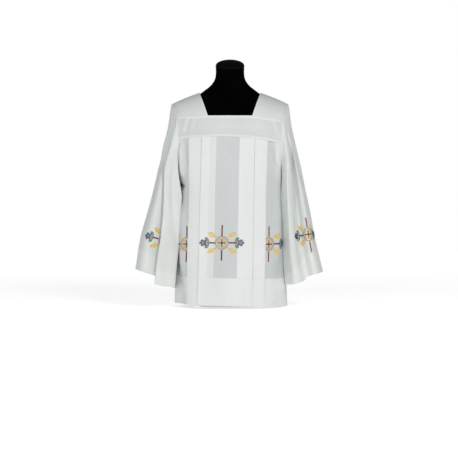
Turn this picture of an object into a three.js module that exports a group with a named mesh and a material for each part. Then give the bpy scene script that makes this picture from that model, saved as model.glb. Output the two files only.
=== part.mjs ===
// A short surplice, a church vestment of thin white cloth, worn by a limbless dress form.
// Millimetres, +Z up. The wearer's front faces -Y and the wearer's left is +X.
// The origin is the centre of the dress form's flat base.
//
// The garment is a square-necked yoke of four pieces, a front and a back that hang from it in
// pressed pleats, and two wide bell sleeves. Every cloth piece is a closed wall on a surface that
// is worked out from the sizes below.
import * as THREE from 'three';

// ---------------------------------------------------------------- driving dimensions, in mm
const WALL = 1.2;             // one layer of cloth
const HEM_WALL = 2.2;         // a turned hem, with its second layer
const WELT = 0.8;             // how far a felled seam stands proud
const WELT_WIDTH = 7;         // how wide a felled seam is
const PLEAT_STAND = 5.0;      // how far the pleats hold the band's lower edge out
const PLEAT_STAND_RUN = 45;   // how far in from the side this takes to build up
const SEAM_GAP = 0.4;         // between two pieces that are sewn together
const HEM_HEIGHT = 109;       // the turned hem of the front and back
const CUFF_HEIGHT = 62;       // the turned hem of the sleeves
const SLEEVE_LENGTH = 560;    // from the middle of the armhole to the cuff
const UNDERARM_REACH = 40;    // the height over which the sleeve clears the body's side

const CHEST_Z = 700;          // above this the body rounds over into the shoulders
const SHOULDER_ROUNDNESS = 2.3;
const NECK_POINT = { x: 122, z: 853 };     // where the neckline crosses the shoulder ridge
const SHOULDER_SLOPE = 0.32;
const SHOULDER_DROOP = 0.0008;
const TIP_X = 231;            // the outer end of the shoulder
const NECK_CORNER_X = 87;     // half of the neckline's straight front and back edges
const WELT_CURVE = 1.3;       // how the seam above the yoke bands bends down to the sides

const UNDERARM = { x: 200, z: 493 };
const YOKE_SIDE_X = 204;      // the yoke's side edge at the chest
const EDGE_CURVE = 1.6;       // how the armhole swings out to the shoulder's tip

// The body's outline at six heights: an oval with its own squareness.
const BODY = [
  { z: 0, halfWidth: 222, front: 186, back: 182, square: 2.4 },
  { z: 190, halfWidth: 214, front: 172, back: 168, square: 2.45 },
  { z: 365, halfWidth: 206, front: 160, back: 154, square: 2.55 },
  { z: 493, halfWidth: 200, front: 151, back: 142, square: 2.7 },
  { z: 600, halfWidth: 222, front: 145, back: 133, square: 2.8 },
  { z: 700, halfWidth: 245, front: 136, back: 126, square: 2.8 },
];

// Each side of the garment, front and back. The lines lean a little towards the wearer's left.
const SIDES = {
  front: { sign: -1, depth: 'front', seamZ: 674, seamDroop: 19, seamLean: 8, neckZ: 757,
    weltDroop: 10, weltLean: 8, hemZ: 11, hemLean: 4.5, pleatShift: -7, pleatDrift: -15 },
  back: { sign: 1, depth: 'back', seamZ: 690, seamDroop: 15, seamLean: 3, neckZ: 798,
    weltDroop: 8, weltLean: 3, hemZ: 10, hemLean: 5, pleatShift: 0, pleatDrift: 5 },
};

// The pressed pleats: two at each side of a flat middle panel, with their folds facing outwards.
const PLEAT = { innerFold: 45.5, foldOne: 103, foldTwo: 156 };
const LAYER_PITCH = { yoke: 1.75, hem: 3.2 };   // from one layer to the next
const FOLD_ROUND = 0.87;      // a fold's turn is drawn with two points, 30 degrees either side,
const FOLD_DROPS = [0.25, 0.75];   // which lie this many layers below its upper layer
const SIDE_STOPS = [0.12, 0.25, 0.4, 0.55, 0.7, 0.85, 1];   // from the second fold to the side
const SIDE_CALM = 0.12;       // the soft folds fade out over this share beside the side seam
const UNDERLAY_LIFT = 2.5;    // a pleat's hidden layers end this far above the hem
const STEP = 1.5;             // the height or width that a hem or welt takes to end

// Rows up a panel: the zone and the share of the way up it. The hem is thick, the skirt goes up
// to the underarm, and the chest goes on up to the yoke.
const PANEL_ROWS = [
  { zone: 'hem', share: 0 },
  { zone: 'hem', share: 0.5 },
  { zone: 'hem', share: 1 },
  { zone: 'skirt', share: 0 },
  { zone: 'skirt', share: 0.33 },
  { zone: 'skirt', share: 0.67 },
  { zone: 'skirt', share: 1 },
  { zone: 'chest', share: 0.05 },
  { zone: 'chest', share: 0.15 },
  { zone: 'chest', share: 0.33 },
  { zone: 'chest', share: 0.65 },
  { zone: 'chest', share: 1 },
];

// Soft folds in the side of the body: where they are as a share of the way from the second fold
// to the side seam, how deep they are at the hem, how wide, and how far up they reach.
const BODY_FOLDS = [
  { side: 'front', half: -1, at: 0.55, depth: -15, width: 0.2, reach: 430 },
  { side: 'front', half: -1, at: 0.86, depth: 6, width: 0.12, reach: 330 },
  { side: 'front', half: 1, at: 0.42, depth: -7, width: 0.2, reach: 380 },
  { side: 'front', half: 1, at: 0.8, depth: 8, width: 0.18, reach: 420 },
  { side: 'back', half: -1, at: 0.5, depth: -11, width: 0.2, reach: 400 },
  { side: 'back', half: 1, at: 0.58, depth: -12, width: 0.22, reach: 420 },
  { side: 'back', half: 1, at: 0.88, depth: 7, width: 0.12, reach: 300 },
];

// Each sleeve's sections from the armhole to the cuff. A section is a ring that runs from an inner
// point, beside the body, to an outer point, with a depth to the front and to the back.
// Its long folds are placed by their angle round the ring: 0 is the outer line, 90 the front, 180
// the side next to the body and 270 the back. They start together near the shoulder. A lean moves
// a fold outwards along X.
const SLEEVES = {
  left: {
    half: 1,
    sections: [
      { along: 0.0, innerX: 200, innerZ: 493, outerX: 231, outerZ: 808, front: 98, back: 92 },
      { along: 0.1, innerX: 204, innerZ: 482, outerX: 242, outerZ: 770, front: 104, back: 100 },
      { along: 0.2, innerX: 206, innerZ: 455, outerX: 250, outerZ: 712, front: 106, back: 108 },
      { along: 0.32, innerX: 208, innerZ: 405, outerX: 264, outerZ: 638, front: 106, back: 115 },
      { along: 0.45, innerX: 211, innerZ: 345, outerX: 284, outerZ: 556, front: 109, back: 122 },
      { along: 0.58, innerX: 214, innerZ: 283, outerX: 301, outerZ: 470, front: 113, back: 128 },
      { along: 0.71, innerX: 217, innerZ: 220, outerX: 320, outerZ: 380, front: 119, back: 134 },
      { along: 0.84, innerX: 222, innerZ: 158, outerX: 338, outerZ: 278, front: 127, back: 140 },
      { along: 1.0, innerX: 228, innerZ: 90, outerX: 371, outerZ: 142, front: 137, back: 147 },
    ],
    folds: [
      { top: 14, cuff: 90, depth: -36, width: 12, lean: 0 },
      { top: 50, cuff: 122, depth: 12, width: 18, lean: 8 },
      { top: 8, cuff: 46, depth: 8, width: 22, lean: 0 },
      { top: 120, cuff: 137, depth: 4, width: 15, lean: -24 },
      { top: 330, cuff: 262, depth: -42, width: 16, lean: 0 },
      { top: 300, cuff: 228, depth: 9, width: 18, lean: 0 },
      { top: 345, cuff: 318, depth: -12, width: 15, lean: 0 },
    ],
  },
  right: {
    half: -1,
    sections: [
      { along: 0.0, innerX: 200, innerZ: 493, outerX: 231, outerZ: 808, front: 98, back: 92 },
      { along: 0.1, innerX: 204, innerZ: 481, outerX: 242, outerZ: 768, front: 104, back: 100 },
      { along: 0.2, innerX: 206, innerZ: 452, outerX: 252, outerZ: 706, front: 106, back: 108 },
      { along: 0.32, innerX: 208, innerZ: 400, outerX: 268, outerZ: 630, front: 106, back: 115 },
      { along: 0.45, innerX: 211, innerZ: 340, outerX: 284, outerZ: 545, front: 109, back: 122 },
      { along: 0.58, innerX: 214, innerZ: 276, outerX: 304, outerZ: 458, front: 113, back: 128 },
      { along: 0.71, innerX: 217, innerZ: 212, outerX: 330, outerZ: 368, front: 119, back: 134 },
      { along: 0.84, innerX: 222, innerZ: 150, outerX: 357, outerZ: 276, front: 127, back: 140 },
      { along: 1.0, innerX: 227, innerZ: 76, outerX: 378, outerZ: 154, front: 137, back: 147 },
    ],
    folds: [
      { top: 26, cuff: 86, depth: -24, width: 14, lean: -12 },
      { top: 52, cuff: 112, depth: 8, width: 15, lean: 10 },
      { top: 10, cuff: 40, depth: 6, width: 20, lean: 0 },
      { top: 120, cuff: 137, depth: 4, width: 15, lean: -26 },
      { top: 330, cuff: 270, depth: -38, width: 16, lean: 0 },
      { top: 300, cuff: 236, depth: 8, width: 18, lean: 0 },
      { top: 350, cuff: 322, depth: -13, width: 14, lean: 0 },
    ],
  },
};
const SLEEVE_SEAT = 0.3;      // how far down the sleeve the armhole's shape lasts
const SEAM_TURN = 0.1;        // how far down the sleeve its wall takes to turn beside the body
const FOLD_START = 0.34;      // how far down the sleeve its folds reach their full depth
const RING_ROUND = 0.8;       // 1 is an ellipse, and less is fuller at its four corners
const CUFF_STEP = 0.45;       // the same for the ring's height, so that the front hem steps down

// The dress form at each height, with the neck leaning forward by the centre's shift.
const FORM = [
  { z: 0, halfWidth: 122, front: 66, back: 72, centreY: 0 },
  { z: 10, halfWidth: 140, front: 83, back: 90, centreY: 0 },
  { z: 30, halfWidth: 158, front: 98, back: 108, centreY: 0 },
  { z: 70, halfWidth: 168, front: 105, back: 118, centreY: 0 },
  { z: 160, halfWidth: 174, front: 108, back: 124, centreY: 0 },
  { z: 260, halfWidth: 165, front: 104, back: 114, centreY: 0 },
  { z: 360, halfWidth: 153, front: 100, back: 100, centreY: 0 },
  { z: 450, halfWidth: 156, front: 106, back: 100, centreY: 0 },
  { z: 540, halfWidth: 167, front: 116, back: 107, centreY: 0 },
  { z: 620, halfWidth: 178, front: 124, back: 113, centreY: 0 },
  { z: 680, halfWidth: 189, front: 127, back: 116, centreY: 0 },
  { z: 730, halfWidth: 202, front: 125, back: 116, centreY: 0 },
  { z: 768, halfWidth: 212, front: 116, back: 110, centreY: 0 },
  { z: 789, halfWidth: 213, front: 107, back: 104, centreY: 0 },
  { z: 805, halfWidth: 203, front: 98, back: 98, centreY: 0 },
  { z: 818, halfWidth: 184, front: 91, back: 94, centreY: 0 },
  { z: 832, halfWidth: 153, front: 84, back: 89, centreY: 0 },
  { z: 842, halfWidth: 126, front: 79, back: 85, centreY: 0 },
  { z: 851, halfWidth: 113, front: 75, back: 81, centreY: -1 },
  { z: 866, halfWidth: 98, front: 68, back: 75, centreY: -2 },
  { z: 881, halfWidth: 79, front: 61, back: 68, centreY: -4 },
  { z: 897, halfWidth: 66, front: 57, back: 61, centreY: -6 },
  { z: 913, halfWidth: 59, front: 55, back: 56, centreY: -8 },
  { z: 933, halfWidth: 56.5, front: 55, back: 55, centreY: -10 },
  { z: 957, halfWidth: 57, front: 57, back: 57, centreY: -13 },
];
const NECK_TILT = { slope: 0.30, from: 897, over: 57 };   // the neck's top falls to the front
const CAP = { radius: 57.5, rim: 5, dome: 21, rings: 7 };

// ---------------------------------------------------------------- materials
const finish = (color, roughness) => new THREE.MeshStandardMaterial({ color, roughness, metalness: 0 });
const cloth = finish(0xe6e8e6, 0.72);
const jersey = finish(0x0b0b0c, 0.85);
const capFinish = finish(0x141415, 0.5);

// ---------------------------------------------------------------- small helpers
const lerp = (a, b, t) => a + (b - a) * t;
const clamp01 = (t) => Math.min(1, Math.max(0, t));
const smooth = (t) => clamp01(t) ** 2 * (3 - 2 * clamp01(t));
const radians = (degrees) => (degrees * Math.PI) / 180;

// A table's column at a position, on a smooth curve through its rows.
function column(table, by, key, at) {
  let i = 0;
  while (i < table.length - 2 && at > table[i + 1][by]) i += 1;
  const slope = (k) => {
    const a = table[Math.max(0, k - 1)];
    const b = table[Math.min(table.length - 1, k + 1)];
    return (b[key] - a[key]) / (b[by] - a[by]);
  };
  const step = table[i + 1][by] - table[i][by];
  const t = clamp01((at - table[i][by]) / step);
  const rise = table[i + 1][key] - table[i][key];
  const startSlope = slope(i) * step;
  const endSlope = slope(i + 1) * step;
  return table[i][key] + t * startSlope + t * t * (3 * rise - 2 * startSlope - endSlope)
    + t * t * t * (startSlope + endSlope - 2 * rise);
}

// A closed wall on a grid of points, rows[j][i], that run midway through the cloth. Row j is
// thickness(j, i) through. A ring's rows close on themselves. Where a piece is sewn to another, its
// edge is cut square: cuts names the axis that the edge's thickness does not run along.
function wall(name, rows, thickness, cuts, ring = false) {
  const height = rows.length;
  const lastColumn = rows[0].length - 1;
  const width = rows[0].length;
  const at = (j, i) => rows[j][ring ? (i + width) % width : Math.min(width - 1, Math.max(0, i))];
  const normal = (j, i) => {
    const across = at(j, i + 1).clone().sub(at(j, i - 1));
    const up = at(Math.min(height - 1, j + 1), i).clone().sub(at(Math.max(0, j - 1), i));
    across.cross(up);
    if (j === 0 && cuts.bottom) across[cuts.bottom] = 0;
    if (j === height - 1 && cuts.top) across[cuts.top] = 0;
    if ((i === 0 || i === lastColumn) && cuts.side) across[cuts.side(j)] = 0;
    return across.normalize();
  };
  const positions = [];
  for (let j = 0; j < height; j += 1) {
    for (let i = 0; i < width; i += 1) {
      const half = normal(j, i).multiplyScalar(thickness(j, i) / 2);
      const outer = at(j, i).clone().add(half);
      const inner = at(j, i).clone().sub(half);
      positions.push(...outer.toArray(), ...inner.toArray());
    }
  }
  const outerIndex = (j, i) => 2 * (j * width + (i % width));
  const innerIndex = (j, i) => outerIndex(j, i) + 1;
  const faces = [];
  const quad = (a, b, c, d) => faces.push(a, b, c, a, c, d);
  const cells = ring ? width : width - 1;
  for (let j = 0; j < height - 1; j += 1) {
    for (let i = 0; i < cells; i += 1) {
      quad(outerIndex(j, i), outerIndex(j, i + 1), outerIndex(j + 1, i + 1), outerIndex(j + 1, i));
      quad(innerIndex(j, i), innerIndex(j + 1, i), innerIndex(j + 1, i + 1), innerIndex(j, i + 1));
    }
  }
  for (let i = 0; i < cells; i += 1) {
    const top = height - 1;
    quad(outerIndex(0, i), innerIndex(0, i), innerIndex(0, i + 1), outerIndex(0, i + 1));
    quad(outerIndex(top, i), outerIndex(top, i + 1), innerIndex(top, i + 1), innerIndex(top, i));
  }
  if (!ring) {
    const end = width - 1;
    for (let j = 0; j < height - 1; j += 1) {
      quad(outerIndex(j, 0), outerIndex(j + 1, 0), innerIndex(j + 1, 0), innerIndex(j, 0));
      quad(outerIndex(j, end), innerIndex(j, end), innerIndex(j + 1, end), outerIndex(j + 1, end));
    }
  }
  return meshOf(name, positions, faces, cloth);
}

function meshOf(name, positions, faces, material) {
  const geometry = new THREE.BufferGeometry();
  geometry.setAttribute('position', new THREE.Float32BufferAttribute(positions, 3));
  geometry.setIndex(faces);
  geometry.computeVertexNormals();
  const mesh = new THREE.Mesh(geometry, material);
  mesh.name = name;
  return mesh;
}

// ---------------------------------------------------------------- the body's surface
const shoulderZ = (x) => {
  const out = Math.abs(x) - NECK_POINT.x;
  return NECK_POINT.z - SHOULDER_SLOPE * out - SHOULDER_DROOP * out * out;
};

// How far the surface is from the middle plane, at a place across and a height.
function depthAt(side, x, z) {
  const level = Math.min(z, CHEST_Z);
  const squareness = column(BODY, 'z', 'square', level);
  const share = Math.min(1, Math.abs(x) / column(BODY, 'z', 'halfWidth', level));
  const chest = column(BODY, 'z', side.depth, level) * (1 - share ** squareness) ** (1 / squareness);
  if (z <= CHEST_Z) return chest;
  const rise = clamp01((z - CHEST_Z) / (shoulderZ(x) - CHEST_Z));
  return chest * (1 - rise ** SHOULDER_ROUNDNESS) ** (1 / SHOULDER_ROUNDNESS);
}

const onBody = (side, x, z) => new THREE.Vector3(x, side.sign * (depthAt(side, x, z) + SEAM_GAP / 2), z);

const seamZ = (side, x) => {
  const out = x / YOKE_SIDE_X;
  return side.seamZ - side.seamDroop * out * out - side.seamLean * out;
};

const weltZ = (side, x) => {
  const out = Math.max(0, (Math.abs(x) - NECK_CORNER_X) / (YOKE_SIDE_X - NECK_CORNER_X));
  return side.neckZ - (side.weltDroop + side.weltLean * Math.sign(x)) * out ** WELT_CURVE;
};

// The armhole's place across, below the shoulder piece and along it.
const armholeX = (side, z) => {
  const rise = smooth((z - UNDERARM.z) / (side.neckZ - UNDERARM.z));
  return lerp(UNDERARM.x, YOKE_SIDE_X, rise);
};
const shoulderEdgeX = (rise) => lerp(YOKE_SIDE_X, TIP_X, rise ** EDGE_CURVE);

// A point of a shoulder piece: from its welt (rise 0) to the ridge (rise 1), at a place across.
function onShoulder(side, x, rise) {
  const low = weltZ(side, x);
  return onBody(side, x, lerp(low, shoulderZ(x), rise));
}

// ---------------------------------------------------------------- the armhole's loop
// The turns at which a shoulder piece has its rows: 0 at the welt, 90 on the ridge.
const SHOULDER_TURNS = [90, 78, 64, 48, 32, 16, 0];
const LOWER_TURNS = 22;

// One side of the loop, from the shoulder's tip down to the underarm.
function armholeHalf(side, half) {
  const points = SHOULDER_TURNS.map((turn) => {
    const rise = Math.sin(radians(turn));
    return onShoulder(side, half * shoulderEdgeX(rise), rise);
  });
  const low = weltZ(side, half * YOKE_SIDE_X);
  for (let k = 1; k <= LOWER_TURNS; k += 1) {
    const z = lerp(low, UNDERARM.z, Math.sin(radians(90 * (k / LOWER_TURNS))));
    points.push(onBody(side, half * armholeX(side, z), z));
  }
  return points;
}

// The whole loop: down the front and up the back. Each point has its angle round the sleeve, 0 at
// the tip and 180 at the underarm.
function armholeLoop(half) {
  const halves = [SIDES.front, SIDES.back].map((side) => {
    const points = armholeHalf(side, half);
    const along = [0];
    points.slice(1).forEach((point, k) => along.push(along[k] + point.distanceTo(points[k])));
    const length = along[along.length - 1];
    return points.map((point, k) => ({ point, angle: (180 * along[k]) / length }));
  });
  const back = halves[1].slice(1, -1).reverse();
  return [...halves[0], ...back.map(({ point, angle }) => ({ point, angle: 360 - angle }))];
}

// ---------------------------------------------------------------- front and back
// The outline of one quarter of the body at a height: points from the middle to the side, with
// their distances along it.
const QUARTER_STEPS = 120;
const quarterCache = new Map();
function quarter(side, z) {
  const key = `${side.depth}${z.toFixed(2)}`;
  if (quarterCache.has(key)) return quarterCache.get(key);
  const squareness = column(BODY, 'z', 'square', z);
  const halfWidth = column(BODY, 'z', 'halfWidth', z);
  const depth = column(BODY, 'z', side.depth, z);
  const points = [];
  let along = 0;
  for (let k = 0; k <= QUARTER_STEPS; k += 1) {
    const angle = radians(90 * (k / QUARTER_STEPS));
    const x = halfWidth * Math.sin(angle) ** (2 / squareness);
    const y = depth * Math.cos(angle) ** (2 / squareness);
    const last = points[k - 1];
    if (last) along += Math.hypot(x - last.x, y - last.y);
    points.push({ x, y, along });
  }
  quarterCache.set(key, points);
  return points;
}

// A point at a distance along the outline from the middle, moved out by a lift.
function alongBody(side, distance, z, lift) {
  const points = quarter(side, z);
  const away = Math.abs(distance);
  let k = 0;
  while (k < points.length - 2 && away > points[k + 1].along) k += 1;
  const a = points[k];
  const b = points[k + 1];
  const t = (away - a.along) / (b.along - a.along);
  const run = Math.hypot(b.x - a.x, b.y - a.y);
  const normalX = (a.y - b.y) / run;
  const normalY = (b.x - a.x) / run;
  const half = distance < 0 ? -1 : 1;
  return new THREE.Vector3(
    half * (lerp(a.x, b.x, t) + normalX * lift),
    side.sign * (lerp(a.y, b.y, t) + normalY * lift + SEAM_GAP / 2),
    z,
  );
}

// How far along the outline the panel's side edge is: the side seam, or the armhole above it.
function edgeAlong(side, z) {
  const points = quarter(side, z);
  if (z <= UNDERARM.z) return points[points.length - 1].along;
  const edge = armholeX(side, z);
  const k = points.findIndex((p) => p.x >= edge);
  const a = points[k - 1];
  const b = points[k];
  return lerp(a.along, b.along, (edge - a.x) / (b.x - a.x));
}

// The path of one half of a panel across its pleats, from the middle to the side seam: how far
// out, how many layers up, whether the layer is hidden, and the share of the way to the side.
function pleatPath() {
  const { innerFold, foldOne, foldTwo } = PLEAT;
  const middleOne = (innerFold + foldOne) / 2;
  const middleTwo = (foldOne + foldTwo) / 2;
  const run = (layer, hidden, ...stops) => stops.map((out) => {
    const climb = layer.climbs ? 2 * clamp01((out - middleOne) / (foldOne - middleOne)) : 0;
    return { out, layers: layer.base + climb, turn: 0, hidden, side: 0 };
  });
  const fold = (out, turn, top) => FOLD_DROPS.map((down) => (
    { out, layers: top - down, turn, hidden: false, side: 0 }
  ));
  const sides = SIDE_STOPS.map((side) => (
    { out: foldTwo, layers: 0, turn: 0, hidden: false, side }
  ));
  return [
    ...run({ base: 2, climbs: true }, false, 0, innerFold / 2, innerFold, middleOne, foldOne),
    ...fold(foldOne, 1, 4),
    ...run({ base: 1, climbs: true }, true, foldOne, middleOne, innerFold),
    ...fold(innerFold, -1, 1),
    ...run({ base: 0, climbs: true }, true, innerFold, middleOne),
    ...run({ base: 2 }, false, foldOne, middleTwo, foldTwo),
    ...fold(foldTwo, 1, 2),
    ...run({ base: 1 }, true, foldTwo, middleTwo, foldOne),
    ...fold(foldOne, -1, 1),
    ...run({ base: 0 }, true, foldOne, middleTwo),
    ...run({ base: 0 }, false, foldTwo),
    ...sides,
  ];
}

// The height of a panel's row over a place across.
function panelZ(side, row, x, lift) {
  const edge = side.hemZ - (side.hemLean * x) / YOKE_SIDE_X;
  const hemTop = edge + HEM_HEIGHT;
  if (row.zone === 'chest') return lerp(UNDERARM.z, seamZ(side, x), row.share);
  if (row.zone === 'skirt') return lerp(hemTop + STEP, UNDERARM.z, row.share);
  return lerp(edge + lift, hemTop, row.share);
}

// How far the soft folds move a point at the side of a panel out or in.
function bodyFold(sideName, half, share, z) {
  const calm = smooth(0.3 + (1 - share) / SIDE_CALM);
  return BODY_FOLDS.filter((fold) => fold.side === sideName && fold.half === half)
    .reduce((sum, fold) => {
      const near = Math.exp(-(((share - fold.at) / fold.width) ** 2));
      return sum + fold.depth * near * calm * smooth(1 - z / fold.reach);
    }, 0);
}

// A point of a panel on one stop of its path, at a height.
function onPanel(sideName, stop, z) {
  const side = SIDES[sideName];
  const rise = z / side.seamZ;
  const pitch = lerp(LAYER_PITCH.hem, LAYER_PITCH.yoke, rise);
  const centre = side.pleatShift + side.pleatDrift * (1 - rise);
  const turned = stop.turn * FOLD_ROUND * 0.5 * pitch;
  const pleatPlace = stop.half * (stop.out + turned) + centre;
  const place = lerp(pleatPlace, stop.half * edgeAlong(side, z), stop.side);
  const fold = stop.side ? bodyFold(sideName, stop.half, stop.side, z) : 0;
  return alongBody(side, place, z, stop.layers * pitch + fold);
}

function panel(sideName) {
  const side = SIDES[sideName];
  const half = pleatPath();
  const mirrored = half.slice(1).reverse().map((stop) => ({ ...stop, half: -1 }));
  const path = [...mirrored, ...half.map((stop) => ({ ...stop, half: 1 }))];
  if (side.sign > 0) path.reverse();
  const rows = PANEL_ROWS.map((row) => path.map((stop) => {
    const lift = stop.hidden ? UNDERLAY_LIFT : 0;
    let x = stop.half * lerp(stop.out, YOKE_SIDE_X, stop.side);
    let point = null;
    for (let pass = 0; pass < 3; pass += 1) {
      const z = panelZ(side, row, x, lift);
      point = onPanel(sideName, stop, z);
      x = point.x;
    }
    return point;
  }));
  const thickness = (j) => (PANEL_ROWS[j].zone === 'hem' ? HEM_WALL : WALL);
  const sideCut = (j) => (PANEL_ROWS[j].zone === 'chest' ? 'x' : 'y');
  return wall(`${sideName}_panel`, rows, thickness, { top: 'z', side: sideCut });
}

// ---------------------------------------------------------------- yoke
// Steps across a piece, or up it, with a welt along both long edges.
const weltRows = (length, ...middle) => [
  { at: 0, welt: 1 },
  { at: WELT_WIDTH / length, welt: 1 },
  { at: (WELT_WIDTH + STEP) / length, welt: 0 },
  ...middle.map((at) => ({ at, welt: 0 })),
  { at: 1 - (WELT_WIDTH + STEP) / length, welt: 0 },
  { at: 1 - WELT_WIDTH / length, welt: 1 },
  { at: 1, welt: 1 },
];

function band(sideName) {
  const side = SIDES[sideName];
  const edge = YOKE_SIDE_X;
  const places = [-1, -0.9, -0.78, -0.66, -0.54, -NECK_CORNER_X / edge, -0.28, -0.14, 0];
  const across = [...places, ...places.slice(0, -1).reverse().map((p) => -p)];
  if (side.sign > 0) across.reverse();
  const levels = weltRows(side.neckZ - side.seamZ, 0.5);
  const rows = levels.map(({ at, welt }) => across.map((share) => {
    let x = share * edge;
    let z = side.seamZ;
    for (let pass = 0; pass < 3; pass += 1) {
      z = lerp(seamZ(side, x) + SEAM_GAP, weltZ(side, x), at);
      x = share * armholeX(side, z);
    }
    const point = onBody(side, x, z);
    const overPleats = PLEAT_STAND * smooth((edge - Math.abs(x)) / PLEAT_STAND_RUN);
    point.y += side.sign * (WELT * welt * 0.5 + overPleats * (1 - at) ** 2);
    return point;
  }));
  const cuts = { bottom: 'z', top: 'z', side: () => 'x' };
  return wall(`yoke_${sideName}_band`, rows, (j) => WALL + WELT * levels[j].welt, cuts);
}

function shoulder(name) {
  const { half } = SLEEVES[name];
  const across = weltRows(TIP_X - NECK_POINT.x, 0.3, 0.5, 0.72).slice(0, -2);
  across.push({ at: 1, welt: 0 });
  const climb = [
    ...[...SHOULDER_TURNS].reverse().map((turn) => ({ side: SIDES.front, turn })),
    ...SHOULDER_TURNS.slice(1).map((turn) => ({ side: SIDES.back, turn })),
  ];
  const columns = half > 0 ? across : [...across].reverse();
  const rows = climb.map(({ side, turn }) => columns.map(({ at, welt }) => {
    const rise = Math.sin(radians(turn));
    const x = lerp(lerp(NECK_CORNER_X, NECK_POINT.x, rise), shoulderEdgeX(rise), at);
    const point = onShoulder(side, half * x, rise);
    point.z += SEAM_GAP + WELT * welt * rise * 0.5;
    point.y += side.sign * WELT * welt * (1 - rise) * 0.5;
    return point;
  }));
  const cuts = { bottom: 'z', top: 'z', side: () => 'x' };
  return wall(`yoke_${name}_shoulder`, rows, (j, i) => WALL + WELT * columns[i].welt, cuts);
}

// ---------------------------------------------------------------- sleeves
// How far the folds move a point of a sleeve: to the front or back, and outwards.
function sleeveFold(folds, angle, along) {
  const nearTop = (1 - along) ** 3;
  const growth = smooth(along / FOLD_START);
  return folds.reduce((sum, fold) => {
    const centre = lerp(fold.cuff, fold.top, nearTop);
    const away = ((angle - centre + 540) % 360) - 180;
    const share = growth * Math.exp(-((away / fold.width) ** 2));
    return { depth: sum.depth + fold.depth * share, lean: sum.lean + fold.lean * share };
  }, { depth: 0, lean: 0 });
}

const fuller = (value, power) => Math.sign(value) * Math.abs(value) ** power;

// A point of a sleeve's section, before it is drawn to the armhole.
function onSection({ half, sections, folds }, angle, along) {
  const read = (key) => column(sections, 'along', key, along);
  const outwards = Math.cos(radians(angle));
  const forwards = Math.sin(radians(angle));
  const { depth, lean } = sleeveFold(folds, angle, along);
  const across = (1 + fuller(outwards, RING_ROUND)) / 2;
  const up = (1 + fuller(outwards, lerp(1, CUFF_STEP, along))) / 2;
  const reach = read(forwards > 0 ? 'front' : 'back') * fuller(forwards, RING_ROUND);
  return new THREE.Vector3(
    half * (lerp(read('innerX'), read('outerX'), across) + lean),
    -reach - depth * Math.sign(forwards) * Math.abs(forwards) ** 0.5,
    lerp(read('innerZ'), read('outerZ'), up),
  );
}

function sleeve(name) {
  const shape = SLEEVES[name];
  const { half, sections } = shape;
  const armhole = armholeLoop(half);
  const hemTop = 1 - CUFF_HEIGHT / SLEEVE_LENGTH;
  const shares = sections.map(({ along }) => along);
  const stops = [...shares.slice(0, -1), hemTop - STEP / SLEEVE_LENGTH, hemTop, 1];
  const rows = stops.map((along) => {
    const seat = smooth(along / SLEEVE_SEAT);
    const ring = armhole.map(({ point: start, angle }) => {
      const section = onSection(shape, angle, along);
      const hung = start.clone();
      hung.x += half * (column(sections, 'along', 'innerX', along) - UNDERARM.x);
      hung.z = lerp(start.z, section.z, seat);
      const point = hung.lerp(section, seat);
      const underarm = smooth(1 - (start.z - UNDERARM.z) / UNDERARM_REACH);
      point.x += half * (SEAM_GAP + WALL * underarm * (0.5 + smooth(along / SEAM_TURN)));
      return point;
    });
    return half > 0 ? ring.reverse() : ring;
  });
  rows.reverse();
  return wall(`sleeve_${name}`, rows, (j) => (j < 2 ? HEM_WALL : WALL), { top: 'x' }, true);
}

// ---------------------------------------------------------------- dress form
const FORM_POINTS = 30;

function formTorso() {
  const positions = [];
  const faces = [];
  FORM.forEach((row, j) => {
    const tilt = NECK_TILT.slope * smooth((row.z - NECK_TILT.from) / NECK_TILT.over);
    for (let i = 0; i < FORM_POINTS; i += 1) {
      const angle = (2 * Math.PI * i) / FORM_POINTS;
      const y = Math.sin(angle) * (Math.sin(angle) < 0 ? row.front : row.back);
      positions.push(row.halfWidth * Math.cos(angle), row.centreY + y, row.z + tilt * y);
      if (j > 0) {
        const next = (i + 1) % FORM_POINTS;
        const low = (j - 1) * FORM_POINTS;
        const high = j * FORM_POINTS;
        faces.push(low + i, low + next, high + next, low + i, high + next, high + i);
      }
    }
  });
  const last = (FORM.length - 1) * FORM_POINTS;
  for (let i = 1; i < FORM_POINTS - 1; i += 1) {
    faces.push(0, i + 1, i);
    faces.push(last, last + i, last + i + 1);
  }
  return meshOf('dress_form_torso', positions, faces, jersey);
}

function formCap() {
  const profile = [new THREE.Vector2(0, 0), new THREE.Vector2(CAP.radius, 0)];
  for (let k = 0; k < CAP.rings; k += 1) {
    const angle = radians((90 * k) / CAP.rings);
    const height = CAP.rim + CAP.dome * Math.sin(angle);
    profile.push(new THREE.Vector2(CAP.radius * Math.cos(angle), height));
  }
  profile.push(new THREE.Vector2(0, CAP.rim + CAP.dome));
  const geometry = new THREE.LatheGeometry(profile, 32);
  geometry.rotateX(Math.PI / 2);
  const cap = new THREE.Mesh(geometry, capFinish);
  cap.name = 'dress_form_neck_cap';
  const top = FORM[FORM.length - 1];
  cap.position.set(0, top.centreY, top.z + SEAM_GAP);
  cap.rotation.x = Math.atan(NECK_TILT.slope);
  return cap;
}

// ---------------------------------------------------------------- assembly
const surplice = new THREE.Group();
surplice.add(formTorso());
surplice.add(formCap());
for (const sideName of ['front', 'back']) {
  surplice.add(panel(sideName));
  surplice.add(band(sideName));
}
for (const name of ['left', 'right']) {
  surplice.add(shoulder(name));
  surplice.add(sleeve(name));
}

export default surplice;
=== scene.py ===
import math

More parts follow.
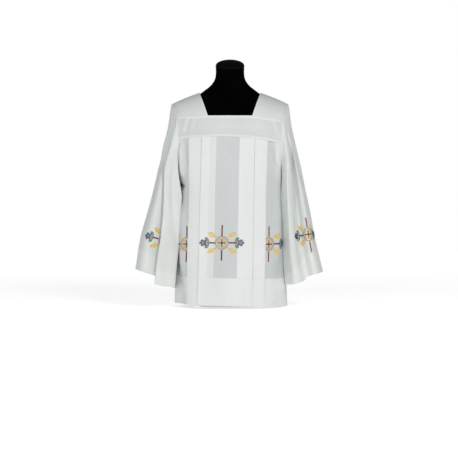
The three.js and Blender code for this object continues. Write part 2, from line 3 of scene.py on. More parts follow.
import bpy
import numpy as np
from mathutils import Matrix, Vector


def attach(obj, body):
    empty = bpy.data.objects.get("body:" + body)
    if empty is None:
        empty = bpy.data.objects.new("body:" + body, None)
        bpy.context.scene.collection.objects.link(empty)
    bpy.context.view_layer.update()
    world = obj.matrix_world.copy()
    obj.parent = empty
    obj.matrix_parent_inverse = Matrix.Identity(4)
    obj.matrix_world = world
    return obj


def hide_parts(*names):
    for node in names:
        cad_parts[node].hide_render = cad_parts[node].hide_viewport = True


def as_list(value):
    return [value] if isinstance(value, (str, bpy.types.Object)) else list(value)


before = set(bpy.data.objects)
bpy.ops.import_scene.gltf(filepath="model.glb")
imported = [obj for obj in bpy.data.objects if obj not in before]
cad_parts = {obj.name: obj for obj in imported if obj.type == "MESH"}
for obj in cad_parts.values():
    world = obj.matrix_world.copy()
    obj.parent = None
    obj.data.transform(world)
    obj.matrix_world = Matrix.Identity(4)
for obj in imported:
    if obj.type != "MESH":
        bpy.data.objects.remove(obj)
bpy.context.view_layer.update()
print("frame loaded:", len(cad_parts), "parts")

# Lengths are in metres. The wearer's front faces -Y and the wearer's left is +X.


# small maths

def mix(a, b, t):
    return a + (b - a) * t


def ease(t):
    t = np.clip(t, 0, 1)
    return t * t * (3 - 2 * t)


def unit(v):
    return v / np.maximum(np.linalg.norm(v, axis=-1, keepdims=True), 1e-12)


def turnsRound(count):
    return np.linspace(0, 2 * math.pi, count + 1)[:-1]


def table(columns, rows):
    # rows of values, each read by the names of its columns
    return [dict(zip(columns.split(), row)) for row in rows]


def readCurve(rows, by, key, at):
    # a smooth curve through one column of a table
    xs = np.array([row[by] for row in rows], float)
    ys = np.array([row[key] for row in rows], float)
    slopes = np.empty_like(ys)
    slopes[1:-1] = (ys[2:] - ys[:-2]) / (xs[2:] - xs[:-2])
    slopes[0] = (ys[1] - ys[0]) / (xs[1] - xs[0])
    slopes[-1] = (ys[-1] - ys[-2]) / (xs[-1] - xs[-2])
    at = np.clip(at, xs[0], xs[-1])
    i = np.clip(np.searchsorted(xs, at, side="right") - 1, 0, len(xs) - 2)
    step = xs[i + 1] - xs[i]
    t = (at - xs[i]) / step
    rise = ys[i + 1] - ys[i]
    a = slopes[i] * step
    b = slopes[i + 1] * step
    return ys[i] + t * a + t * t * (3 * rise - 2 * a - b) + t ** 3 * (a + b - 2 * rise)


def softWaves(u, v, seed, waveU, waveV, count=5):
    # an even, slow unevenness between -1 and 1, the same on every run
    rng = np.random.default_rng(seed)
    total = 0
    for _ in range(count):
        turnU = rng.uniform(-1, 1) * 2 * math.pi / waveU
        turnV = rng.uniform(0.5, 1.3) * 2 * math.pi / waveV
        total = total + np.sin(turnU * u + turnV * v + rng.uniform(0, 2 * math.pi))
    return total / count


def creaseField(u, v, creases):
    # soft troughs and ridges, given as start, end, lift and width, that die away at their ends
    fade = 0.15
    total = np.zeros(np.broadcast(u, v).shape)
    for start, end, lift, width in creases:
        start, end = np.array(start), np.array(end)
        run = end - start
        length = np.hypot(*run)
        t = ((u - start[0]) * run[0] + (v - start[1]) * run[1]) / length ** 2
        away = ((u - start[0]) * run[1] - (v - start[1]) * run[0]) / length
        ends = ease((t + fade) / (2 * fade)) * ease((1 + fade - t) / (2 * fade))
        total = total + lift * ends * np.exp(-(away / width) ** 2)
    return total


# the cut of the garment: the same lines as the frame's walls

cut = {
    "chestZ": 0.700,
    "shoulderRound": 2.3,
    "neckX": 0.122,
    "neckZ": 0.853,
    "shoulderSlope": 0.32,
    "shoulderDroop": 0.8,
    "tipX": 0.231,
    "neckCornerX": 0.087,
    "underarmX": 0.200,
    "underarmZ": 0.493,
    "yokeSideX": 0.204,
    "armholeCurve": 1.6,
    "weltCurve": 1.3,
    "hemHeight": 0.109,
    "outline": table("z halfWidth front back square", [
        (0.000, 0.222, 0.186, 0.182, 2.4),
        (0.190, 0.214, 0.172, 0.168, 2.45),
        (0.365, 0.206, 0.160, 0.154, 2.55),
        (0.493, 0.200, 0.151, 0.142, 2.7),
        (0.600, 0.222, 0.145, 0.133, 2.8),
        (0.700, 0.245, 0.136, 0.126, 2.8),
    ]),
}
sides = {
    "front": {
        "sign": -1, "depth": "front", "seamZ": 0.674, "seamDroop": 0.019, "seamLean": 0.008,
        "neckZ": 0.757, "weltDroop": 0.010, "weltLean": 0.008, "hemZ": 0.011, "hemLean": 0.0045,
        "pleatShift": -0.007, "pleatDrift": -0.015,
    },
    "back": {
        "sign": 1, "depth": "back", "seamZ": 0.690, "seamDroop": 0.015, "seamLean": 0.003,
        "neckZ": 0.798, "weltDroop": 0.008, "weltLean": 0.003, "hemZ": 0.010, "hemLean": 0.005,
        "pleatShift": 0.0, "pleatDrift": 0.005,
    },
}
halves = {"left": 1, "right": -1}


def ridgeZ(x):
    out = np.abs(x) - cut["neckX"]
    return cut["neckZ"] - cut["shoulderSlope"] * out - cut["shoulderDroop"] * out * out


def outlineCurves(side, z):
    keys = ("square", "halfWidth", side["depth"])
    return (readCurve(cut["outline"], "z", key, z) for key in keys)


def depthAt(side, x, z):
    # how far the garment is from the middle plane, at a place across and a height
    square, half, depth = outlineCurves(side, np.minimum(z, cut["chestZ"]))
    share = np.minimum(1, np.abs(x) / half)
    chest = depth * np.maximum(0, 1 - share ** square) ** (1 / square)
    rise = np.clip((z - cut["chestZ"]) / (ridgeZ(x) - cut["chestZ"]), 0, 1)
    power = cut["shoulderRound"]
    return chest * (1 - rise ** power) ** (1 / power)


def onBody(side, x, z):
    return np.stack([x, side["sign"] * depthAt(side, x, z), z], axis=-1)


def seamZ(side, x):
    out = x / cut["yokeSideX"]
    return side["seamZ"] - side["seamDroop"] * out * out - side["seamLean"] * out


def weltZ(side, x):
    run = cut["yokeSideX"] - cut["neckCornerX"]
    out = np.maximum(0, (np.abs(x) - cut["neckCornerX"]) / run)
    drop = side["weltDroop"] + side["weltLean"] * np.sign(x)
    return side["neckZ"] - drop * out ** cut["weltCurve"]


def hemEdgeZ(side, x):
    return side["hemZ"] - side["hemLean"] * x / cut["yokeSideX"]


def armholeX(side, z):
    rise = ease((z - cut["underarmZ"]) / (side["neckZ"] - cut["underarmZ"]))
    return mix(cut["underarmX"], cut["yokeSideX"], rise)


def shoulderEdgeX(rise):
    return mix(cut["yokeSideX"], cut["tipX"], rise ** cut["armholeCurve"])


def onShoulder(side, x, rise):
    low = weltZ(side, x)
    return onBody(side, x, mix(low, ridgeZ(x), rise))


# closed shells of cloth

def gridNormals(points, ring):
    if ring:
        across = np.roll(points, -1, axis=1) - np.roll(points, 1, axis=1)
    else:
        wide = np.concatenate([points[:, :1], points, points[:, -1:]], axis=1)
        across = wide[:, 2:] - wide[:, :-2]
    tall = np.concatenate([points[:1], points, points[-1:]], axis=0)
    return unit(np.cross(across, tall[2:] - tall[:-2]))


def addObject(name, data):
    thing = bpy.data.objects.new(name, data)
    bpy.context.scene.collection.objects.link(thing)
    return thing


def makePiece(name, points, faces, material, coverAndPaintedLight=None, uv=None, sharpAngle=60):
    mesh = bpy.data.meshes.new(name)
    mesh.from_pydata(points.tolist(), [], faces)
    mesh.update()
    if coverAndPaintedLight is not None:
        layer = mesh.attributes.new("coverAndPaintedLight", "FLOAT", "POINT")
        layer.data.foreach_set("value", coverAndPaintedLight.astype(np.float32))
    if uv is not None:
        layer = mesh.uv_layers.new(name="cloth")
        corners = np.empty(len(mesh.loops), np.int32)
        mesh.loops.foreach_get("vertex_index", corners)
        layer.data.foreach_set("uv", uv.astype(np.float32)[corners].ravel())
    mesh.shade_smooth()
    mesh.set_sharp_from_angle(angle=math.radians(sharpAngle))
    mesh.materials.append(material)
    return addObject(name, mesh)


def clothShell(name, points, thickness, material, uv, coverAndPaintedLight, ring):
    # a thin closed wall round a grid of points that run midway through the cloth
    high, wide = points.shape[:2]
    half = gridNormals(points, ring) * (np.broadcast_to(thickness, (high, wide)) / 2)[..., None]
    both = np.concatenate([(points + half).reshape(-1, 3), (points - half).reshape(-1, 3)])
    index = np.arange(high * wide).reshape(high, wide)
    right = np.roll(index, -1, axis=1)
    cells = wide if ring else wide - 1
    a, b = index[:-1, :cells].ravel(), right[:-1, :cells].ravel()
    c, d = right[1:, :cells].ravel(), index[1:, :cells].ravel()
    inner = high * wide
    faces = [np.stack([a, b, c, d], 1), np.stack([a, d, c, b], 1) + inner]
    edges = [(index[0, :cells], right[0, :cells], 1), (index[-1, :cells], right[-1, :cells], -1)]
    if not ring:
        edges += [(index[:-1, 0], index[1:, 0], -1), (index[:-1, -1], index[1:, -1], 1)]
    for start, end, way in edges:
        loop = [start, start + inner, end + inner, end]
        faces.append(np.stack(loop if way > 0 else [loop[0], *loop[:0:-1]], 1))
    uvs = np.broadcast_to(uv, (high, wide, 2)).reshape(-1, 2)
    coversAndPaintedLight = np.broadcast_to(coverAndPaintedLight, (high, wide)).ravel()
    return makePiece(name, both, np.concatenate(faces).tolist(), material,
                     np.concatenate([coversAndPaintedLight, coversAndPaintedLight]), np.concatenate([uvs, uvs]))


def gridArea(points):
    across = points[:-1, 1:] - points[:-1, :-1]
    up = points[1:, :-1] - points[:-1, :-1]
    return float(np.linalg.norm(np.cross(across, up), axis=-1).sum())


def runOf(points, axis):
    # the distance along each row or column of a grid, or along a line
    steps = np.linalg.norm(np.diff(points, axis=axis), axis=-1)
    start = np.zeros_like(np.take(steps, [0], axis=axis))
    return np.concatenate([start, np.cumsum(steps, axis=axis)], axis=axis)


clothPieces = {}


def addCloth(node, name, slot, points, thickness, uv, coverAndPaintedLight, ring=False,
             widest=np.max, longest=np.max):
    # a wall of cloth in place of a node, with its flat size and area kept for later
    piece = clothShell(name, points, thickness, clothFinishes[slot], uv, coverAndPaintedLight, ring)
    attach(piece, "root")
    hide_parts(node)
    flat = np.concatenate([points, points[:, :1]], axis=1) if ring else points
    width = float(widest(runOf(flat, 1)[:, -1]))
    length = float(longest(runOf(flat, 0)[-1]))
    clothPieces[node] = (piece, width, length, gridArea(flat))


# materials

def setSocket(tree, socket, value):
    # a plain value, or a link from a node or from one of its outputs
    if isinstance(value, bpy.types.Node):
        value = value.outputs[0]
    if isinstance(value, bpy.types.NodeSocket):
        tree.links.new(value, socket)
    else:
        socket.default_value = value


def inUse(sockets, name=None):
    # the socket in use, where several kinds of it share a name
    return [s for s in sockets if s.enabled and name in (None, s.name)][0]


def addNode(tree, kind, values=None, **settings):
    node = tree.nodes.new(kind)
    for key, value in settings.items():
        setattr(node, key, value)
    for key, value in (values or {}).items():
        setSocket(tree, node.inputs[key], value)
    return node


class Finish:
    # a short way to write a material's nodes
    def __init__(self, name):
        self.material = bpy.data.materials.new(name)
        self.material.use_nodes = True
        self.tree = self.material.node_tree
        self.place = self.add("ShaderNodeTexCoord").outputs["Object"]

    def add(self, kind, values=None, **settings):
        return addNode(self.tree, kind, values, **settings)

    def close(self, values):
        shader = self.tree.nodes["Principled BSDF"]
        for key, value in values.items():
            setSocket(self.tree, shader.inputs[key], value)
        return self.material

    def stretch(self, vector, scale):
        return self.add("ShaderNodeMapping", {"Vector": vector, "Scale": scale})

    def noise(self, vector, scale, detail):
        values = {"Vector": vector, "Scale": scale, "Detail": detail}
        return self.add("ShaderNodeTexNoise", values).outputs["Fac"]

    def wave(self, vector, direction, scale):
        node = self.add("ShaderNodeTexWave", {"Vector": vector, "Scale": scale},
                        wave_type="BANDS", bands_direction=direction, wave_profile="SIN")
        return node.outputs["Fac"]

    def attribute(self, name, output):
        node = self.add("ShaderNodeAttribute", attribute_name=name, attribute_type="GEOMETRY")
        return node.outputs[output]

    def spread(self, value, low, high, start=0.3, end=0.7):
        # low where the value is at its start, and high where it is at its end
        return self.add("ShaderNodeMapRange", {
            "Value": value, "From Min": start, "From Max": end, "To Min": low, "To Max": high})

    def multiply(self, a, b):
        return self.add("ShaderNodeMath", {0: a, 1: b}, operation="MULTIPLY")

    def blend(self, share, a, b, kind="MIX"):
        node = self.add("ShaderNodeMix", data_type="RGBA", blend_type=kind)
        for name, value in (("Factor", share), ("A", a), ("B", b)):
            setSocket(self.tree, inUse(node.inputs, name), value)
        return inUse(node.outputs)

    def shade(self, colour, amount):
        grey = self.add("ShaderNodeCombineColor", {0: amount, 1: amount, 2: amount})
        return self.blend(1.0, colour, grey, "MULTIPLY")

    def bump(self, height, strength, distance, under=None):
        values = {"Height": height, "Strength": strength, "Distance": distance}
        node = self.add("ShaderNodeBump", values)
        if under is not None:
            setSocket(self.tree, node.inputs["Normal"], under)
        return node


linen = {
    "single": (0.575, 0.598, 0.604, 1),     # one layer, with the dark form showing through
    "full": (0.735, 0.757, 0.750, 1),       # three layers or more
    "slub": 0.05,
    "slubStretch": (900, 40, 1),
    "threadPitch": 0.0006,
    "waveScale": 0.314,           # one wave to each thread
    "weave": (0.5, 0.00012),      # a bump's strength and its depth
    "clouds": 9,
    "cloudStretch": (1, 1, 0.35),
    "cloudShade": (0.96, 1.02),
    "cockle": (0.35, 0.0006),
    "roughness": 0.86,
    "sheen": 0.12,
    "tints": {
        "white_cloth": (1, 1, 1, 1),
        "yoke_cloth": (0.985, 1.0, 0.99, 1),
        "sleeve_cloth": (0.99, 1.0, 0.985, 1),
    },
}


def clothFinish(slot):
    finish = Finish(slot.split("_")[0] + "Cloth")
    uv = finish.add("ShaderNodeUVMap", uv_map="cloth")
    threads = finish.stretch(uv, (1 / linen["threadPitch"],) * 3)
    weave = finish.multiply(*(finish.wave(threads, way, linen["waveScale"]) for way in "XY"))
    clouds = finish.noise(finish.stretch(finish.place, linen["cloudStretch"]), linen["clouds"], 3)
    slubs = finish.noise(finish.stretch(uv, linen["slubStretch"]), 1, 2)
    # the layers' whiteness, with painted shade below the folds and painted light beside the
    # armholes
    base = finish.blend(finish.attribute("coverAndPaintedLight", "Fac"), linen["single"], linen["full"])
    slubShade = finish.spread(slubs, 1 - linen["slub"], 1 + linen["slub"] * 0.4)
    cloudShade = finish.spread(clouds, *linen["cloudShade"])
    shaded = finish.shade(base, finish.multiply(cloudShade, slubShade))
    cockle = finish.bump(clouds, *linen["cockle"])
    return finish.close({
        "Base Color": finish.blend(1.0, shaded, linen["tints"][slot], "MULTIPLY"),
        "Normal": finish.bump(weave, *linen["weave"], cockle),
        "Roughness": linen["roughness"], "Sheen Weight": linen["sheen"],
        "Sheen Roughness": 0.5, "Specular IOR Level": 0.25})


clothFinishes = {slot: clothFinish(slot) for slot in linen["tints"]}


# camera and light

studio = {
    "distance": 7.0,
    "height": 0.40,
    "aimX": -0.004,
    "aimZ": 0.310,
    "frameWidth": 1.832,          # what the camera takes in at the garment
    "sensor": 36,
    "ambient": 0.30,
    "backdrop": 1.0,
    "lampAim": (0, 0, 0.45),
    "lamps": table("name place size power colour", [
        ("key", (2.0, -4.8, 2.6), 1.8, 87, (1, 0.985, 0.96)),
        ("fill", (-1.8, -5.2, 1.3), 2.8, 56, (0.97, 0.985, 1)),
    ]),
    "floorRadius": 9.0,
    "floorSides": 96,
    "floorColour": (0.92, 0.92, 0.92, 1),
    "floorGlow": (0.62, 0.74),    # near the garment, and far from it
    "glowRun": (1.5, 5.0),
}


def lookAt(thing, target):
    away = Vector(target) - thing.location
    thing.rotation_mode = "QUATERNION"
    thing.rotation_quaternion = away.to_track_quat("-Z", "Y")


def makeCamera():
    data = bpy.data.cameras.new("camera")
    camera = addObject("camera", data)
    camera.location = (studio["aimX"], -studio["distance"], studio["height"])
    lookAt(camera, (studio["aimX"], 0, studio["aimZ"]))
    reach = math.hypot(studio["distance"], studio["height"] - studio["aimZ"])
    data.sensor_width = studio["sensor"]
    data.lens = studio["sensor"] * reach / studio["frameWidth"]
    data.clip_end = 60
    bpy.context.scene.camera = camera


def makeLights():
    world = bpy.data.worlds.new("studio")
    world.use_nodes = True
    background = world.node_tree.nodes["Background"]
    background.inputs["Color"].default_value = (1, 1, 1, 1)
    seen = addNode(world.node_tree, "ShaderNodeLightPath").outputs["Is Camera Ray"]
    strength = addNode(world.node_tree, "ShaderNodeMapRange", {
        "Value": seen, "To Min": studio["ambient"], "To Max": studio["backdrop"]})
    setSocket(world.node_tree, background.inputs["Strength"], strength)
    bpy.context.scene.world = world
    for lamp in studio["lamps"]:
        light = bpy.data.lights.new(lamp["name"], "AREA")
        light.shape = "DISK"
        light.size = lamp["size"]
        light.energy = lamp["power"]
        light.color = lamp["colour"]
        shown = addObject(lamp["name"], light)
        shown.location = lamp["place"]
        lookAt(shown, studio["lampAim"])
    bpy.context.scene.view_settings.view_transform = "Standard"


def makeFloor():
    turn = turnsRound(studio["floorSides"])
    rim = studio["floorRadius"] * np.stack([np.cos(turn), np.sin(turn), 0 * turn], 1)
    finish = Finish("floorPaper")
    away = finish.add("ShaderNodeVectorMath", {0: finish.place}, operation="LENGTH")
    paper = finish.close({
        "Base Color": studio["floorColour"], "Roughness": 0.9, "Emission Color": (1, 1, 1, 1),
        "Emission Strength": finish.spread(
            away.outputs["Value"], *studio["floorGlow"], *studio["glowRun"])})
    makePiece("floor", rim, [list(range(len(turn)))], paper)


makeCamera()
makeLights()
makeFloor()
print("studio and cloth finishes made")


# front and back, in pressed pleats

pleats = {
    "innerFold": 0.0455,
    "foldOne": 0.103,
    "foldTwo": 0.156,
    "pitch": {"yoke": 0.0012, "hem": 0.0030},   # from one layer to the next
    "foldSteps": 5,
    "outlineSteps": 180,
    "cloth": 0.0005,
    "hemCloth": 0.0011,
    "hemLine": 0.0003,            # the extra height of the hem's stitched line
    "tuckUnder": 0.006,           # how far the top goes up behind the yoke
    "underlayLift": 0.0025,
    "underlayGap": 0.004,         # a hidden layer ends this far inside its fold
    "creaseStep": 0.0012,
    "creaseShade": (-0.9, -0.9, -0.6),          # painted shade: a dark line on the layer below a fold
    "waver": 0.0012,              # how far a fold strays from its line
    "straightZ": 0.66,            # a fold doesn't stray above here
    "softness": 0.0013,
    "hemCover": 0.93,
    "hemShow": 0.12,              # how much of the cover behind a hem still shows
    "hemLineCover": 0.10,
    "armholeLight": 0.75,         # lighter beside the armhole: the seam's layers, and painted light against the shade the sleeves cast
    "armholeZ": 0.46,
    "strip": 0.28,                # a greyer strip beside the middle, where a layer is missing
    "stripWidth": 0.027,
    "rows": 84,
    "sideSteps": 34,
    "folds": {
        "front": table("half at depth width reach", [
            (-1, 0.55, -0.015, 0.20, 0.43),
            (-1, 0.86, 0.006, 0.12, 0.33),
            (1, 0.42, -0.007, 0.20, 0.38),
            (1, 0.80, 0.008, 0.18, 0.42),
        ]),
        "back": table("half at depth width reach", [
            (-1, 0.50, -0.011, 0.20, 0.40),
            (1, 0.58, -0.012, 0.22, 0.42),
            (1, 0.88, 0.007, 0.12, 0.30),
        ]),
    },
    "creases": {
        "front": [
            ((-0.192, 0.650), (-0.186, 0.525), 0.012, 0.007),
            ((-0.178, 0.655), (-0.173, 0.560), -0.005, 0.006),
            ((-0.203, 0.490), (-0.184, 0.476), -0.012, 0.007),
            ((0.176, 0.650), (0.186, 0.560), -0.004, 0.008),
            ((0.189, 0.560), (0.191, 0.200), 0.011, 0.014),
            ((-0.188, 0.390), (-0.189, 0.160), 0.010, 0.014),
            ((-0.200, 0.120), (-0.200, -0.050), -0.012, 0.022),
        ],
        "back": [
            ((-0.185, 0.660), (-0.178, 0.540), 0.005, 0.008),
            ((0.184, 0.665), (0.178, 0.530), 0.005, 0.008),
            ((0.186, 0.480), (0.196, 0.240), -0.005, 0.012),
        ],
    },
}


def outlineAt(side, z):
    # the quarter outline at each height: x, y and the distance along it from the middle
    turn = np.radians(np.linspace(0, 90, pleats["outlineSteps"] + 1))
    square, half, depth = outlineCurves(side, z)
    power = 2 / square[..., None]
    x = half[..., None] * np.sin(turn) ** power
    y = depth[..., None] * np.cos(turn) ** power
    step = np.hypot(np.diff(x, axis=-1), np.diff(y, axis=-1))
    along = np.concatenate([0 * step[..., :1], np.cumsum(step, axis=-1)], axis=-1)
    return x, y, along, (half, depth, square)


def pick(values, k):
    return np.take_along_axis(values, k[..., None], axis=-1)[..., 0]


def placeOnOutline(side, distance, z, lift, share):
    # share runs from a pleat's place to the side edge, which is as far out as the outline goes
    x, y, along, (half, depth, square) = outlineAt(side, z)
    steps = pleats["outlineSteps"]
    turn = np.arcsin(np.minimum(1, (armholeX(side, z) / half) ** (square / 2)))
    turn = turn / math.radians(90 / steps)
    k = np.clip(turn.astype(int), 0, steps - 1)
    edge = mix(pick(along, k), pick(along, k + 1), turn - k)
    edge = np.where(z <= cut["underarmZ"], along[..., -1], edge)
    away = mix(np.abs(distance), edge, share)
    k = np.clip((along < away[..., None]).sum(-1) - 1, 0, steps - 1)
    start, end = pick(along, k), pick(along, k + 1)
    t = np.clip((away - start) / np.maximum(end - start, 1e-9), 0, 1)
    px, py = (mix(pick(v, k), pick(v, k + 1), t) for v in (x, y))
    nx = np.maximum(px / half, 1e-6) ** (square - 1) / half
    ny = np.maximum(py / depth, 1e-6) ** (square - 1) / depth
    size = np.hypot(nx, ny)
    sign = np.where(distance < 0, -1.0, 1.0)
    px, py = sign * (px + lift * nx / size), side["sign"] * (py + lift * ny / size)
    return np.stack([px, py, z], axis=-1)


def climbAt(out):
    # the outer half of the first pleat lies over the inner end of the second one
    one = pleats["foldOne"]
    middle = (pleats["innerFold"] + one) / 2
    return 2 * np.clip((out - middle) / (one - middle), 0, 1)


def pleatCentre(side, z):
    return side["pleatShift"] + side["pleatDrift"] * (1 - np.clip(z / side["seamZ"], 0, 1))


def pleatPath():
    # one half of a panel across its pleats, from the middle to the side seam
    one, two, inner = pleats["foldOne"], pleats["foldTwo"], pleats["innerFold"]
    gap, step = pleats["underlayGap"], pleats["creaseStep"]
    stops = []

    def run(start, end, count, base, climbs=False, hidden=0, coverAndPaintedLight=1.0):
        # so many stops on one layer of the cloth
        for out in np.linspace(start, end, count):
            layers = base + climbAt(out) if climbs else base
            stops.append((out, layers, 0, hidden, 0, coverAndPaintedLight))

    def fold(out, turn, top):
        # round to the layer below
        for k in range(1, pleats["foldSteps"] + 1):
            angle = math.pi * k / (pleats["foldSteps"] + 1)
            stops.append((out, top - (1 - math.cos(angle)) / 2, turn * math.sin(angle), 0, 0, 1.0))

    def crease(out, base):
        # painted shade: stops just below the fold that darken the cloth
        for k, coverAndPaintedLight in enumerate(pleats["creaseShade"]):
            stops.append((out + k * step, base, 0, 0, 0, coverAndPaintedLight))

    run(0, inner - step / 2, 12, 2, coverAndPaintedLight=0.0)
    run(inner + step / 2, one, 16, 2, climbs=True)
    fold(one, 1, 4)
    run(one, inner, 8, 1, climbs=True, hidden=1)
    fold(inner, -1, 1)
    run(inner, one - gap, 8, 0, climbs=True, hidden=1)
    crease(one, 2)
    run(one + 3 * step, two, 14, 2)
    fold(two, 1, 2)
    run(two, one, 6, 1, hidden=1)
    fold(one, -1, 1)
    run(one, two - gap, 6, 0, hidden=1)
    crease(two, 0)
    for share in np.linspace(0, 1, pleats["sideSteps"] + 1)[1:]:
        stops.append((two, 0, 0, 0, share, 0.0))
    return np.array(stops)


def panelLevels():
    # up a panel: 0 to 1 is the hem and 1 to 2 is the rest
    foot, edge = [0, 0.006, 0.04], [0.955, 0.985, 1.0, 1.004]
    rest = np.linspace(1, 2, pleats["rows"])[1:]
    return np.concatenate([foot, np.linspace(0.12, 0.94, 8), edge, rest])


def panelPoint(sideName, half, stop, level, proud=0.0):
    # a place on a panel, from its stop across (one column of the path) and its level up
    side = sides[sideName]
    out, layers, turn, hidden, share = stop
    x = half * mix(out, cut["yokeSideX"], share)
    for _ in range(3):
        edge = hemEdgeZ(side, x) + hidden * pleats["underlayLift"]
        hemTop = hemEdgeZ(side, x) + cut["hemHeight"]
        top = seamZ(side, x) + pleats["tuckUnder"]
        z = np.where(level <= 1, mix(edge, hemTop, level), mix(hemTop, top, level - 1))
        rise = np.clip(z / side["seamZ"], 0, 1)
        pitch = mix(pleats["pitch"]["hem"], pleats["pitch"]["yoke"], rise)
        stray = pleats["waver"] * softWaves(half * out * 9, z, 4 + side["sign"], 1, 0.3)
        stray = stray * ease((pleats["straightZ"] - z) / 0.2) * ease((out - 0.02) / 0.02)
        place = half * (out + turn * pitch * 0.5 + stray) + pleatCentre(side, z)
        x = placeOnOutline(side, place, z, 0, share)[..., 0]
    lift = layers * pitch
    calm = ease(0.3 + (1 - share) / 0.12) * (share > 0)       # less beside the side seam
    for fold in pleats["folds"][sideName]:
        near = np.exp(-((share - fold["at"]) / fold["width"]) ** 2) * (half == fold["half"])
        lift = lift + fold["depth"] * near * calm * ease(1 - z / fold["reach"])
    shown = (1 - hidden) * ease((seamZ(side, x) - z) / 0.05)
    lift = lift + shown * pleats["softness"] * softWaves(x, z, 11 + side["sign"], 0.16, 0.5)
    lift = lift + shown * creaseField(x, z, pleats["creases"][sideName])
    return placeOnOutline(side, place, z, lift + proud, share)


def makePanel(sideName):
    side = sides[sideName]
    half = pleatPath()
    path = np.concatenate([half[:0:-1], half])
    signs = np.concatenate([-np.ones(len(half) - 1), np.ones(len(half))])
    path, signs = path[::-side["sign"]], signs[::-side["sign"]]
    levels = panelLevels()
    stop = [np.broadcast_to(path[:, k], (len(levels), len(path))) for k in range(5)]
    level = np.broadcast_to(levels[:, None], stop[0].shape)
    points = panelPoint(sideName, np.broadcast_to(signs, level.shape), stop, level)
    inHem = ease((1.002 - level) / 0.004)
    hemLine = np.exp(-((level - 0.985) / 0.03) ** 2) * inHem      # just below the hem's top
    out, hidden, share, coverAndPaintedLight = path[:, 0], path[:, 3], path[:, 4], path[:, 5]
    reach = pleats["stripWidth"] / 2
    beside = (hidden == 0) & (np.abs(out - pleats["innerFold"] - reach) < reach) & (coverAndPaintedLight > 0.5)
    strip = beside * (signs < 0) * (side["sign"] < 0) * pleats["strip"]
    # painted light: side panels made lighter beside the armhole, where the sleeves shade them, and
    # for the seam's layers
    doubledAndLit = ease((share - 0.35) / 0.4) * ease((points[..., 2] - pleats["armholeZ"]) / 0.05)
    coverAndPaintedLight = coverAndPaintedLight - strip + doubledAndLit * pleats["armholeLight"]
    hemCover = pleats["hemCover"] + pleats["hemShow"] * coverAndPaintedLight
    coverAndPaintedLight = mix(coverAndPaintedLight, hemCover, inHem) + pleats["hemLineCover"] * hemLine
    thickness = mix(pleats["cloth"], pleats["hemCloth"], inHem) + pleats["hemLine"] * hemLine
    uv = np.stack([runOf(points, 1), points[..., 2]], axis=-1)
    addCloth(sideName + "_panel", sideName + "_pleated_panel", "white_cloth",
             points, thickness, uv, coverAndPaintedLight, widest=np.mean, longest=np.mean)


for sideName in sides:
    makePanel(sideName)
print("front and back panels made")


# the yoke: a band at the front and back, and a strap over each shoulder

yoke = {
    "cloth": 0.0009,
    "welt": 0.0008,
    "pleatStand": 0.0050,
    "pleatStandRun": 0.045,
    "bandCover": 0.42,
    "strapCover": 0.78,
    "weltCover": 0.92,
    "lowerWelt": 0.0115,
    "upperWelt": 0.0085,
    "neckHem": 0.0065,
    "weltSlope": 0.0012,
    "weltStep": 0.0007,
    "calm": 0.15,                 # the share beside each seam where the creases die away
    "bandGrid": (20, 150),
    "strapGrid": (42, 73),
    "softness": 0.0006,
    "creases": {
        "front": [
            ((-0.160, 0.748), (-0.172, 0.690), -0.0028, 0.0060),
            ((-0.174, 0.752), (-0.186, 0.700), 0.0026, 0.0060),
            ((-0.132, 0.745), (-0.142, 0.700), -0.0016, 0.0080),
            ((0.160, 0.742), (0.176, 0.690), -0.0022, 0.0080),
            ((0.182, 0.738), (0.190, 0.690), 0.0022, 0.0070),
            ((-0.060, 0.712), (0.075, 0.706), -0.0008, 0.0120),
        ],
        "back": [
            ((-0.158, 0.780), (-0.172, 0.706), -0.0024, 0.0080),
            ((0.160, 0.782), (0.174, 0.700), -0.0026, 0.0070),
            ((0.182, 0.776), (0.188, 0.706), 0.0022, 0.0070),
            ((-0.070, 0.742), (0.080, 0.748), -0.0010, 0.0150),
        ],
        "left": [
            ((0.205, 0.76), (0.222, 0.80), 0.0020, 0.0060),
            ((0.135, 0.77), (0.160, 0.82), -0.0010, 0.0120),
        ],
        "right": [
            ((-0.205, 0.76), (-0.222, 0.80), 0.0026, 0.0055),
            ((-0.196, 0.77), (-0.212, 0.80), -0.0020, 0.0050),
            ((-0.150, 0.76), (-0.168, 0.81), -0.0010, 0.0120),
        ],
    },
}


def bandPoint(sideName, share, at, proud=0.0):
    # share runs from -1 to 1 across, and at from the lower seam to the upper one
    side = sides[sideName]
    x = share * cut["yokeSideX"]
    for _ in range(3):
        z = mix(seamZ(side, x), weltZ(side, x), at)
        x = share * armholeX(side, z)
    stand = ease((cut["yokeSideX"] - np.abs(x)) / yoke["pleatStandRun"])
    push = yoke["pleatStand"] * stand * np.clip(1 - at, 0, 1) ** 2
    calm = ease(at / yoke["calm"]) * ease((1 - at) / yoke["calm"])
    push = push + proud + calm * creaseField(x, z, yoke["creases"][sideName])
    push = push + yoke["softness"] * softWaves(x, z, 21 + side["sign"], 0.10, 0.10) * calm
    point = onBody(side, x, z)
    point[..., 1] += side["sign"] * push
    return point


def softSteps(length, edges, count):
    # places from 0 to 1, closer together round each edge that is given
    step = yoke["weltStep"]
    near = [np.array([edge - step, edge, edge + step]) / length for edge in edges]
    return np.unique(np.clip(np.concatenate([np.linspace(0, 1, count), *near]), 0, 1))


def addYoke(node, points, welt, uvAlong, coverAndPaintedLight, widest):
    uv = np.stack([uvAlong, points[..., 0]], axis=-1)
    addCloth(node, node + "_cloth", "yoke_cloth", points, yoke["cloth"] + yoke["welt"] * welt,
             uv, mix(coverAndPaintedLight, yoke["weltCover"], welt), widest=widest)


